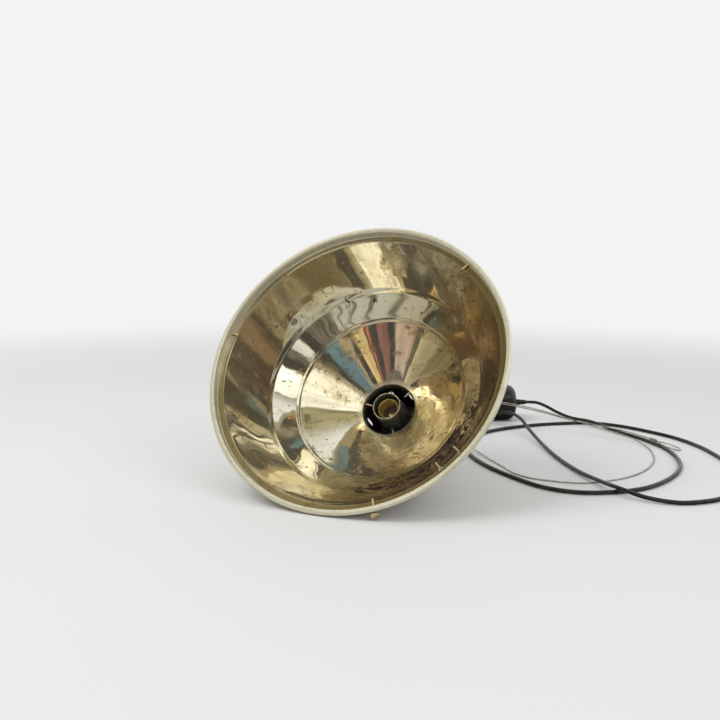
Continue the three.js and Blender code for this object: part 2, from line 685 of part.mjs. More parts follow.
// A hairpin of wire with both ends at the origin and its tip on +X
function loopCurve(length, half) {
  return curveThrough([
    [0, WIRE_R * 1.15, 0],
    [WIRE_R * 2, WIRE_R * 1.2, 0],
    [length * 0.3, half * 0.72, 0],
    [length * 0.7, half, 0],
    [length * 0.94, half * 0.62, 0],
    [length, 0, 0],
    [length * 0.94, -half * 0.62, 0],
    [length * 0.7, -half, 0],
    [length * 0.3, -half * 0.72, 0],
    [WIRE_R * 2, -WIRE_R * 1.2, 0],
    [0, -WIRE_R * 1.15, 0],
  ]);
}

// The crimped ferrule that closes a loop, behind the origin along -X
function ferruleGeometry() {
  const front = CLEAR;
  const back = front + FERRULE_LENGTH;
  const body = revolve([
    [0, front],
    [FERRULE_R - 0.4, front],
    [FERRULE_R, front + 0.6],
    [FERRULE_R, back - 0.6],
    [FERRULE_R - 0.4, back],
    [0, back],
  ], 12);
  return body.rotateY(-Math.PI / 2);
}

// Where the wire leaves a ferrule, in the loop's own group
const FERRULE_EXIT = -(FERRULE_LENGTH + CLEAR * 2);

function loopGroup(name, length, half) {
  const group = new THREE.Group();
  group.add(mesh(`${name}_loop`, tube(loopCurve(length, half), WIRE_R, 6, LOOP_STEPS), finish.wire));
  group.add(mesh(`${name}_ferrule`, ferruleGeometry(), finish.steel));
  return group;
}

// Canopy pieces, made along +Z: the crown is at 0 and the open rim at CANOPY_LENGTH
function canopyCupGeometry() {
  const r = CANOPY_R;
  const s = CANOPY_SHOULDER_R;
  const w = CANOPY_WALL;
  const outlet = CABLE_R + 0.6;
  const shell = revolve([
    [outlet, 0],
    [r - s, 1],
    ...arc(r - s, 1 + s, s, 285, 360, 5),
    [r, CANOPY_LENGTH],
    [r - w, CANOPY_LENGTH],
    ...arc(r - s, 1 + s, s - w, 360, 285, 4),
    [outlet, 1 + w],
  ], CANOPY_SIDES);
  return cut(shell, sideScrewBores());
}

function sideScrewBores() {
  const bores = [];
  for (const turn of [0, Math.PI]) {
    const bore = rod(SIDE_SCREW_R + CLEAR, CANOPY_R - 8, CANOPY_R + 4, 10);
    bores.push(turned(layRadial(bore, CANOPY_LENGTH - BRACKET_INSET - 6), turn + Math.PI / 2));
  }
  return bores;
}

function sideScrewGeometry(turn) {
  const under = CANOPY_R / Math.cos(Math.PI / CANOPY_SIDES) + CLEAR;
  const tip = under - SIDE_SCREW_LENGTH;
  const screw = domedScrew(SIDE_SCREW_R, tip, under, SIDE_HEAD_R, SIDE_HEAD_HEIGHT);
  return turned(layRadial(screw, CANOPY_LENGTH - BRACKET_INSET - 6), turn + Math.PI / 2);
}

// The ceiling bracket: a strap across the rim, with turned-in ends that take the side screws
function bracketGeometry() {
  const reach = CANOPY_R - CANOPY_WALL - 1;
  const z = CANOPY_LENGTH - BRACKET_INSET;
  const strap = block(reach * 2, BRACKET_WIDTH, BRACKET_THICK, [0, 0, z + BRACKET_THICK / 2]);
  const ears = [];
  const cuts = [];
  for (const side of [-1, 1]) {
    const ear = block(BRACKET_THICK, BRACKET_WIDTH, 12, [side * (reach - BRACKET_THICK / 2), 0, z - 6 + BRACKET_THICK]);
    ears.push(ear);
    const slot = new THREE.Shape();
    slot.absarc(4, 0, 2.2, -Math.PI / 2, Math.PI / 2);
    slot.absarc(-4, 0, 2.2, Math.PI / 2, Math.PI * 1.5);
    const slotSolid = new THREE.ExtrudeGeometry(slot, { depth: 8, bevelEnabled: false, curveSegments: 5 });
    cuts.push(slotSolid.translate(side * 15, 0, z - 3));
  }
  return cut(join([strap, ...ears]), [...cuts, ...sideScrewBores()]);
}

function terminalBlockGeometry() {
  const [x, y, z] = BLOCK_SIZE;
  const top = CANOPY_LENGTH - BRACKET_INSET - CLEAR;
  const body = block(x, y, z, [0, 0, top - z / 2]);
  const cuts = [];
  for (const side of [-1, 0, 1]) {
    cuts.push(rod(1.8, top - z - 1, top - z + 5, 8).translate(side * 7, 0, 0));
  }
  return cut(body, cuts);
}

// Inside the crown: a clamp block that grips the cable
function canopyGripGeometry() {
  const start = 1 + CANOPY_WALL + CLEAR;
  return revolve([
    [0, start],
    [8, start],
    [8, start + 9],
    [6, start + 12],
    [0, start + 12],
  ], 16);
}

// The tilt at which the belly of the reflector and the edge of the cap stand on one plane
function restingTilt() {
  const edgeR = CAP_R - CAP_EDGE_R;
  const edgeDepth = CAP_BACK - CAP_EDGE_R;
  const slopes = offsetLine(brightLine(), -SHEET).map(([r, depth]) => {
    const reach = Math.hypot(r - edgeR, edgeDepth - depth);
    return Math.atan2(r - edgeR, edgeDepth - depth) - Math.asin(Math.min(CAP_EDGE_R / reach, 1));
  });
  return Math.max(...slopes);
}

const lamp = new THREE.Group();
lamp.rotation.x = -(Math.PI / 2 + restingTilt());

lamp.add(mesh('reflector', reflectorGeometry(), finish.mirror));
lamp.add(mesh('rim_wire', rimWireGeometry(), finish.steel));
for (let i = 0; i < SCREW_COUNT; i += 1) {
  lamp.add(mesh(`rim_bush_${i + 1}`, turned(rimBushGeometry(), screwAngle(i)), finish.nickel));
  lamp.add(mesh(`rim_screw_${i + 1}`, turned(rimScrewGeometry(i), screwAngle(i)), finish.brass));
  lamp.add(mesh(`neck_screw_${i + 1}`, turned(neckScrewGeometry(), screwAngle(i)), finish.nickel));
}
lamp.add(mesh('neck_collar', collarGeometry(), finish.enamel));
lamp.add(mesh('rear_cap', capGeometry(), finish.enamel));
for (let i = 0; i < CAP_SCREW_COUNT; i += 1) {
  const turn = i * 2 * Math.PI / CAP_SCREW_COUNT;
  lamp.add(mesh(`cap_screw_${i + 1}`, capScrewGeometry(turn), finish.nickel));
}
lamp.add(mesh('lampholder_ring', holderRingGeometry(), finish.steel));
lamp.add(mesh('lampholder_shell', holderShellGeometry(), finish.gunmetal));
lamp.add(mesh('lampholder_cap', holderCapGeometry(), finish.gunmetal));
lamp.add(mesh('screw_sleeve', sleeveGeometry(), finish.brass));
lamp.add(mesh('insulator', insulatorGeometry(), finish.ceramic));
lamp.add(mesh('centre_contact', centreContactGeometry(), finish.brass));
lamp.add(mesh('terminal_1', terminalGeometry(-1), finish.brass));
lamp.add(mesh('terminal_2', terminalGeometry(1), finish.brass));
lamp.add(mesh('nipple', nippleGeometry(), finish.steel));
lamp.add(mesh('inner_nut', hexNut(CAP_IN - CLEAR - NUT_THICK), finish.steel));
lamp.add(mesh('hanger_plate', hangerGeometry(), finish.steel));
lamp.add(mesh('outer_nut', hexNut(OUTER_NUT_FRONT), finish.steel));
lamp.add(mesh('cord_grip', gripGeometry(), finish.plastic));
const relief = reliefGeometry(RELIEF_FRONT, RELIEF_LENGTH, RELIEF_FRONT_R, RELIEF_END_R);
lamp.add(mesh('strain_relief', relief, finish.plastic));

// The wire's loop at the lamp passes through the hole of the hanger's tab
const lampLoop = loopGroup('lamp', LAMP_LOOP_LENGTH, LAMP_LOOP_HALF);
const holeDepth = PLATE_FRONT + TAB_LENGTH - TAB_HOLE_INSET;
lampLoop.position.set(0, -TAB_OFFSET - PLATE_THICK / 2, holeDepth + LAMP_LOOP_LENGTH);
lampLoop.rotation.y = Math.PI / 2;
lamp.add(lampLoop);

// The lamp stands on the table
lamp.updateMatrixWorld(true);
lamp.position.z = -new THREE.Box3().setFromObject(lamp, true).min.z;

// The loop at the wire's far end: its tip is on the table and its ferrule lies on the cable
const endLoop = loopGroup('end', END_LOOP_LENGTH, END_LOOP_HALF);
endLoop.rotation.set(0, END_LOOP_SLOPE, END_LOOP_TURN, 'ZYX');
endLoop.position.set(-END_LOOP_LENGTH, 0, 0).applyEuler(endLoop.rotation);
endLoop.position.add(new THREE.Vector3(...END_LOOP_TIP, WIRE_R * 1.2));

// The canopy lies on its side, crown to the right
const canopy = new THREE.Group();
canopy.add(mesh('canopy_cup', canopyCupGeometry(), finish.enamel));
canopy.add(mesh('canopy_grip', canopyGripGeometry(), finish.plastic));
canopy.add(mesh('canopy_screw_1', sideScrewGeometry(0), finish.nickel));
canopy.add(mesh('canopy_screw_2', sideScrewGeometry(Math.PI), finish.nickel));
canopy.add(mesh('ceiling_bracket', bracketGeometry(), finish.steel));
canopy.add(mesh('terminal_block', terminalBlockGeometry(), finish.plastic));
const outletRelief = reliefGeometry(CLEAR, CANOPY_RELIEF_LENGTH, RELIEF_FRONT_R, RELIEF_END_R);
canopy.add(mesh('canopy_relief', outletRelief.rotateX(Math.PI), finish.plastic));
const canopyAxis = new THREE.Vector3(-Math.cos(CANOPY_TURN), -Math.sin(CANOPY_TURN), 0);
const down = new THREE.Vector3(0, 0, -1);
const across = new THREE.Vector3().crossVectors(down, canopyAxis);
canopy.quaternion.setFromRotationMatrix(new THREE.Matrix4().makeBasis(across, down, canopyAxis));
canopy.position.set(...CANOPY_CROWN, CANOPY_R);

// A route that leaves one fitting squarely, follows its points and enters another squarely
function cordCurve(from, route, to, radius) {
  const points = [];
  const start = from.group.localToWorld(new THREE.Vector3(...from.at));
  const out = new THREE.Vector3(...from.way).transformDirection(from.group.matrixWorld);
  const straight = [0, radius * 2, radius * 2 + 4];
  for (const reach of straight) points.push(start.clone().addScaledVector(out, reach));
  for (const p of route) points.push(new THREE.Vector3(...p));
  const end = to.group.localToWorld(new THREE.Vector3(...to.at));
  const away = new THREE.Vector3(...to.way).transformDirection(to.group.matrixWorld);
  for (const reach of straight.reverse()) points.push(end.clone().addScaledVector(away, reach));
  const curve = new THREE.CatmullRomCurve3(points, false, 'centripetal');
  // Steps follow the route's own points, which stand closer together in the bends
  curve.getPointAt = curve.getPoint;
  curve.getTangentAt = curve.getTangent;
  return curve;
}

const scene = new THREE.Group();
scene.add(lamp, endLoop, canopy);
scene.updateMatrixWorld(true);

const cableCurve = cordCurve(
  { group: lamp, at: [0, 0, CABLE_START], way: [0, 0, 1] },
  CABLE_ROUTE,
  { group: canopy, at: [0, 0, -(CLEAR * 2 + CANOPY_RELIEF_LENGTH)], way: [0, 0, -1] },
  CABLE_R,
);
scene.add(mesh('power_cable', tube(cableCurve, CABLE_R, 8, CABLE_STEPS), finish.cable));

const wireCurve = cordCurve(
  { group: lampLoop, at: [FERRULE_EXIT, 0, 0], way: [-1, 0, 0] },
  WIRE_ROUTE,
  { group: endLoop, at: [FERRULE_EXIT, 0, 0], way: [-1, 0, 0] },
  WIRE_R,
);
scene.add(mesh('steel_wire', tube(wireCurve, WIRE_R, 8, WIRE_STEPS), finish.wire));

// The origin is at the middle of the lamp's own footprint, on the table
const footprint = new THREE.Box3().setFromObject(lamp, true).getCenter(new THREE.Vector3());
scene.position.set(-footprint.x, -footprint.y, 0);
const product = new THREE.Group();
product.add(scene);

export default product;
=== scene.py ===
"""Dressed model of a pendant lamp made from the polished reflector of a medical lamp.

Every length is in metres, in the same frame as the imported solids. The reflector and the patterns
on it are made in the lamp's own coordinates: its axis is +Z, from the rim plane back to the rear
cap, and -Y faces up.
"""
import math

import bmesh
import bpy
import numpy as np
from mathutils import Matrix, Vector


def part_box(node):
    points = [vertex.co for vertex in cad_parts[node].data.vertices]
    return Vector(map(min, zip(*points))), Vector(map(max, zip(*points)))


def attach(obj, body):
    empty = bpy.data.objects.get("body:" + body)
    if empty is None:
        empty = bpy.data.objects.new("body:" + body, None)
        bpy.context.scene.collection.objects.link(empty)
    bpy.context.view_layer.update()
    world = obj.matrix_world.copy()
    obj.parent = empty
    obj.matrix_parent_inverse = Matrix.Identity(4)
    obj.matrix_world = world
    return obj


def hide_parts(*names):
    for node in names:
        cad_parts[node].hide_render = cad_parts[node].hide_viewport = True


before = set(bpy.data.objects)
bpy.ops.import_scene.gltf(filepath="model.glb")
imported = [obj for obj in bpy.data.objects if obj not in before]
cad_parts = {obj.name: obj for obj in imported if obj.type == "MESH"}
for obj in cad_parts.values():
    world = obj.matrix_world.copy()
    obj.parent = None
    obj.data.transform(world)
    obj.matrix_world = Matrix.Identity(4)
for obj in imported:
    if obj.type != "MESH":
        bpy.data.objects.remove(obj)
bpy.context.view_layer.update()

MM = 0.001

# Camera at the photograph's viewing angle
CAMERA_AT = (0.3908, -0.9879, 0.3044)
CAMERA_DIP = math.radians(7.71)
CAMERA_TURN = math.radians(22.5)
CAMERA_LENS = 40
CAMERA_SENSOR = 36
CAMERA_NEAR = 0.01

# Reflector: radii from the axis, depths behind the rim plane
SHEET = 1.2 * MM
RIM_R = 200 * MM
BEAD_R = 3.5 * MM
LEDGE_DEPTH = 12.5 * MM
LEDGE_IN_R = 185 * MM
WALL_BULGE = 2 * MM
RING_1 = (149 * MM, 82.5 * MM)
RING_2 = (119 * MM, 113.5 * MM)
# Each ring steps in through three points, counted in steps from its own radius and depth
RING_STEP = 2.2 * MM
RING_1_POINTS = ((-1, 1), (-0.2, -0.3), (0.9, -1.6))
RING_2_POINTS = ((-1, 0.5), (-0.3, -0.5), (1, -1.2))
# The cone ends in a burnished roll round the hole
CONE_END = (40.7 * MM, 158.1 * MM)
LIP_IN_R = 37.5 * MM
LIP_R = 5 * MM
NECK_END = 169.5 * MM
NECK_BROWNED = 4 * MM
# The sheet rolls round the wire from one angle to the other, in degrees
ROLL_START, ROLL_END = 180, 470
# How finely it is drawn: spans of each curve, the longest span, and the ease of its corners.
# An edge sharper than BOWL_SHARP, in degrees, isn't shaded smooth
BOWL_SIDES = 320
LIP_SPANS = 16
WALL_SPANS = 32
ROLL_OUT_SPANS, ROLL_IN_SPANS = 28, 16
LONGEST_SPAN = 6 * MM
BRIGHT_EASE, DULL_EASE = 1.1 * MM, 1.4 * MM
BOWL_SHARP = 40
# Dents: radius, turn in degrees from the top, spread and depth
DENTS = (
    (161 * MM, 304, 5 * MM, 1.3 * MM),
    (162 * MM, 314, 4 * MM, 1.0 * MM),
)

# Small bolts with square nuts through the rim wall: turn in degrees from the top, turn of the
# nut. Spans along a bolt are distances from the lamp's axis
RIM_BOLTS = ((133, 0), (124, 38))
BOLT_DEPTH = 10.2 * MM
BOLT_R = 1.1 * MM
BOLT_TIP = 176 * MM
BOLT_HEAD_R = 2.6 * MM
BOLT_HEAD_FRONT = 194.3 * MM
BOLT_HEAD_EDGE = 195.2 * MM
BOLT_HEAD_BACK = 196 * MM
BOLT_PITCH = 0.8 * MM
BOLT_SIDES = 20
# The flat of its tip and the root of its thread, as shares of its radius
BOLT_FLAT, BOLT_ROOT = 0.7, 0.86
# The shoulder of its dome: a share of the head's radius, and how far it lies below the top
BOLT_SHOULDER, BOLT_SHOULDER_DROP = 0.7, 0.2 * MM
NUT_HALF = 2.9 * MM
NUT_SPAN = (185.6 * MM, 188.6 * MM)
NUT_BORE_R = 1.144 * MM
NUT_BORE_SIDES = 16
NUT_BEVEL = 0.35 * MM

# Welding of the solids and rounding of their edges
WELD_DISTANCE = 0.002 * MM
EDGE_BEVEL = 0.2 * MM
EDGE_ANGLE = math.radians(38)
BEVEL_SEGMENTS = 2

# Cords
CABLE_R = 2.75 * MM
CABLE_START = 285.65 * MM
WIRE_R = 1 * MM
WIRE_START = 282.55 * MM
WIRE_HEIGHT = 27.75 * MM
WIRE_LAY = 13 * MM
WIRE_STRANDS = 6
WIRE_GROOVE = 0.16 * MM
CORD_STRAIGHT = 4 * MM
# Neither cord starts out in this direction
NEVER_ALONG = (0.3, 0.2, 1.0)
# How finely they are drawn: points in each span of a route, spacing along the cord, sides
ROUTE_POINTS = 24
CABLE_STEP, CABLE_SIDES = 4 * MM, 20
WIRE_STEP, WIRE_SIDES = 1.2 * MM, 18

# Loop at the far end of the wire
END_LOOP_LENGTH = 38 * MM
END_LOOP_TIP = (0.386, 0.386, 0.0012)
END_LOOP_TURN = math.radians(-22)
END_LOOP_SLOPE = math.radians(11.2)
FERRULE_EXIT = 11.6 * MM

# Canopy
CANOPY_CROWN = (0.102, 0.522, 0.032)
CANOPY_TURN = math.radians(22.5)
CANOPY_RELIEF_END = 20.6 * MM

# Routes of the cords, from the spot on the table below the centre of the rim
CABLE_ROUTE = (
    (0, 0.2515, 0.0053), (0, 0.257, 0.0037), (0, 0.264, 0.003), (-0.0005, 0.285, 0.0031),
    (-0.003, 0.335, 0.0031), (0.001, 0.373, 0.0032), (0.021, 0.419, 0.005), (0.051, 0.446, 0.0145),
    (0.083, 0.458, 0.021), (0.107, 0.454, 0.025), (0.128, 0.434, 0.022), (0.154, 0.389, 0.012),
    (0.185, 0.329, 0.005), (0.224, 0.251, 0.0032), (0.261, 0.189, 0.0038), (0.293, 0.144, 0.0065),
    (0.32, 0.111, 0.009), (0.352, 0.096, 0.0055), (0.388, 0.097, 0.0032), (0.416, 0.113, 0.0031),
    (0.439, 0.138, 0.003), (0.461, 0.177, 0.003), (0.47, 0.231, 0.003), (0.464, 0.283, 0.003),
    (0.446, 0.338, 0.003), (0.417, 0.407, 0.003), (0.378, 0.461, 0.003), (0.327, 0.5, 0.003),
    (0.281, 0.523, 0.003), (0.236, 0.528, 0.003), (0.186, 0.502, 0.003), (0.136, 0.462, 0.003),
    (0.086, 0.394, 0.003), (0.07, 0.337, 0.003), (0.074, 0.282, 0.003), (0.092, 0.235, 0.003),
    (0.129, 0.181, 0.003), (0.178, 0.134, 0.003), (0.228, 0.1, 0.003), (0.27, 0.095, 0.003),
    (0.31, 0.112, 0.003), (0.347, 0.145, 0.003), (0.377, 0.209, 0.003), (0.388, 0.284, 0.003),
    (0.371, 0.366, 0.003), (0.332, 0.429, 0.003), (0.283, 0.471, 0.0048), (0.237, 0.508, 0.01),
    (0.202, 0.529, 0.0095), (0.176, 0.539, 0.0155), (0.154, 0.54, 0.0255), (0.139, 0.537, 0.031),
)
WIRE_ROUTE = (
    (0, 0.275, 0.0225), (0, 0.297, 0.0105), (0.005, 0.314, 0.0045), (0.02, 0.322, 0.0022),
    (0.04, 0.309, 0.0034), (0.068, 0.283, 0.0085), (0.097, 0.254, 0.004), (0.126, 0.221, 0.0016),
    (0.153, 0.188, 0.0012), (0.176, 0.159, 0.0012), (0.199, 0.144, 0.0012), (0.225, 0.14, 0.0012),
    (0.263, 0.143, 0.0012), (0.294, 0.162, 0.0012), (0.332, 0.214, 0.0012), (0.35, 0.277, 0.0012),
    (0.349, 0.341, 0.0013), (0.335, 0.391, 0.0024), (0.305, 0.426, 0.007), (0.265, 0.432, 0.015),
    (0.211, 0.435, 0.0265), (0.153, 0.436, 0.039), (0.097, 0.436, 0.046), (0.05, 0.402, 0.052),
    (0.024, 0.337, 0.053), (0.018, 0.275, 0.0525), (0.02, 0.2355, 0.0635), (0.0195, 0.225, 0.0715),
    (0.019, 0.2125, 0.0805), (0.018, 0.1795, 0.101), (0.015, 0.172, 0.1075), (0.0065, 0.168, 0.113),
    (-0.0045, 0.168, 0.113), (-0.013, 0.1725, 0.108), (-0.016, 0.18, 0.1015),
    (-0.0155, 0.2135, 0.0815), (-0.0145, 0.226, 0.0735), (-0.0115, 0.237, 0.066),
    (-0.01, 0.277, 0.05), (0.003, 0.339, 0.048), (0.042, 0.406, 0.046), (0.097, 0.441, 0.042),
    (0.153, 0.4415, 0.035), (0.211, 0.441, 0.024), (0.25, 0.438, 0.0195), (0.275, 0.432, 0.0175),
    (0.292, 0.4245, 0.017), (0.315, 0.4145, 0.015),
)


def box_centre(node):
    """The centre of a solid's box."""
    low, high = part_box(node)
    return (low + high) / 2


def lamp_frame():
    """The lamp's own coordinates: origin at the centre of the rim plane, +Z back along the axis."""
    bead = box_centre("rim_wire")
    axis = (box_centre("nipple") - bead).normalized()
    across = Vector((1, 0, 0))
    down = axis.cross(across)
    made = Matrix((across, down, axis)).transposed().to_4x4()
    made.translation = bead - axis * BEAD_R
    return made


LAMP = lamp_frame()
# The routes count from the spot below the centre of the rim
SPOT = Vector((LAMP.translation.x, LAMP.translation.y, 0))


def make_camera():
    data = bpy.data.cameras.new("camera")
    data.sensor_width = CAMERA_SENSOR
    data.lens = CAMERA_LENS
    data.clip_start = CAMERA_NEAR
    camera = bpy.data.objects.new("camera", data)
    camera.location = CAMERA_AT
    camera.rotation_euler = (math.pi / 2 - CAMERA_DIP, 0, CAMERA_TURN)
    bpy.context.scene.collection.objects.link(camera)
    bpy.context.scene.camera = camera


make_camera()


def through(points, per_span):
    """Points along a centripetal Catmull-Rom curve through the given ones."""
    p = [np.array(q, float) for q in points]
    p = [2 * p[0] - p[1], *p, 2 * p[-1] - p[-2]]
    t = (np.arange(per_span) / per_span)[:, None]
    made = []
    for a, b, c, d in zip(p, p[1:], p[2:], p[3:]):
        d0, d1, d2 = (math.sqrt(np.linalg.norm(v - u)) for u, v in ((a, b), (b, c), (c, d)))
        m1 = ((b - a) / d0 - (c - a) / (d0 + d1) + (c - b) / d1) * d1
        m2 = ((c - b) / d1 - (d - b) / (d1 + d2) + (d - c) / d2) * d1
        square, cube = 3 * (c - b) - 2 * m1 - m2, 2 * (b - c) + m1 + m2
        made.append(b + m1 * t + square * t**2 + cube * t**3)
    return np.vstack([*made, p[-2][None]])


def way_along(points):
    """How far along the line each point is."""
    gaps = np.linalg.norm(np.diff(points, axis=0), axis=1)
    return np.concatenate([[0], np.cumsum(gaps)])


def even(points, step):
    """The same line with points an even step apart."""
    along = way_along(points)
    count = max(2, round(along[-1] / step) + 1)
    at = np.linspace(0, along[-1], count)
    return np.column_stack([np.interp(at, along, points[:, k]) for k in range(3)])


def new_piece(name, verts, faces, body="shade"):
    """A named mesh piece that rides on a body."""
    data = bpy.data.meshes.new(name)
    data.from_pydata([tuple(v) for v in verts], [], [tuple(f) for f in faces])
    data.validate()
    data.shade_smooth()
    piece = bpy.data.objects.new(name, data)
    bpy.context.scene.collection.objects.link(piece)
    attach(piece, body)
    return piece


def carried_frames(points):
    """Two unit vectors square to the line at each point, carried along without twist."""
    along = np.gradient(points, axis=0)
    along /= np.linalg.norm(along, axis=1)[:, None]
    first = np.cross(along[0], NEVER_ALONG)
    side = first / np.linalg.norm(first)
    sides = []
    for t in along:
        side = side - t * (side @ t)
        side = side / np.linalg.norm(side)
        sides.append(side)
    sides = np.array(sides)
    return sides, np.cross(along, sides)


def tube_piece(name, points, radius, sides, lobes=0, lay=0.0, groove=0.0):
    """A tube along a line, closed at both ends. With lobes, its section is that many strands."""
    u, v = carried_frames(points)
    angle = np.arange(sides) * 2 * math.pi / sides
    r = np.full(sides, radius)
    turn = np.zeros(len(points))
    if lobes:
        r = radius - groove * (1 - np.abs(np.cos(angle * lobes / 2)))
        turn = 2 * math.pi * way_along(points) / lay
    a = angle[None, :] + turn[:, None]
    ring = (
        points[:, None, :]
        + (np.cos(a) * r)[..., None] * u[:, None, :]
        + (np.sin(a) * r)[..., None] * v[:, None, :]
    )
    verts = np.vstack([ring.reshape(-1, 3), points[:1], points[-1:]])
    n = len(points)
    faces = []
    for i in range(n - 1):
        for k in range(sides):
            j = (k + 1) % sides
            faces.append((i * sides + k, i * sides + j, (i + 1) * sides + j, (i + 1) * sides + k))
    for k in range(sides):
        j = (k + 1) % sides
        faces.append((n * sides, j, k))
        faces.append((n * sides + 1, (n - 1) * sides + k, (n - 1) * sides + j))
    return new_piece(name, verts, faces)


def end_loop_frame():
    """The far loop's own coordinates: +X runs from its ferrule to its tip."""
    turn = Matrix.Rotation(END_LOOP_TURN, 4, "Z") @ Matrix.Rotation(END_LOOP_SLOPE, 4, "Y")
    tip = SPOT + Vector(END_LOOP_TIP)
    return Matrix.Translation(tip) @ turn @ Matrix.Translation((-END_LOOP_LENGTH, 0, 0))


def canopy_frame():
    """The canopy's own coordinates: the crown is at 0 and +Z runs to its open rim."""
    axis = Vector((-math.cos(CANOPY_TURN), -math.sin(CANOPY_TURN), 0))
    down = Vector((0, 0, -1))
    made = Matrix((down.cross(axis), down, axis)).transposed().to_4x4()
    made.translation = SPOT + Vector(CANOPY_CROWN)
    return made


END_LOOP = end_loop_frame()
CANOPY = canopy_frame()


def cord_line(start, out, route, end, away, radius):
    """The route's line, leaving its start and entering its end squarely."""
    straight = (0, radius * 2, radius * 2 + CORD_STRAIGHT)
    points = [start + out * s for s in straight]
    points += [SPOT + Vector(p) for p in route]
    points += [end + away * s for s in reversed(straight)]
    return through(points, ROUTE_POINTS)


def cord_ends():
    """Where the two cords start and end, and which way they point there."""
    back = LAMP.to_3x3() @ Vector((0, 0, 1))
    cable_from = LAMP @ Vector((0, 0, CABLE_START))
    cable_to = CANOPY @ Vector((0, 0, -CANOPY_RELIEF_END))
    crown_way = CANOPY.to_3x3() @ Vector((0, 0, -1))
    wire_from = LAMP @ Vector((0, -WIRE_HEIGHT, WIRE_START))
    wire_to = END_LOOP @ Vector((-FERRULE_EXIT, 0, 0))
    loop_way = END_LOOP.to_3x3() @ Vector((-1, 0, 0))
    return (cable_from, back, cable_to, crown_way), (wire_from, back, wire_to, loop_way)


def make_cords():
    """The mains cable and the suspension wire, each in place of its solid."""
    cable_ends, wire_ends = cord_ends()
    start, out, end, away = cable_ends
    line = even(cord_line(start, out, CABLE_ROUTE, end, away, CABLE_R), CABLE_STEP)
    cable = tube_piece("mains_cable", line, CABLE_R, CABLE_SIDES)
    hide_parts("power_cable")
    start, out, end, away = wire_ends
    line = even(cord_line(start, out, WIRE_ROUTE, end, away, WIRE_R), WIRE_STEP)
    wire = tube_piece("suspension_wire", line, WIRE_R, WIRE_SIDES,
                      WIRE_STRANDS, WIRE_LAY, WIRE_GROOVE)
    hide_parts("steel_wire")
    return cable, wire


cable, wire = make_cords()


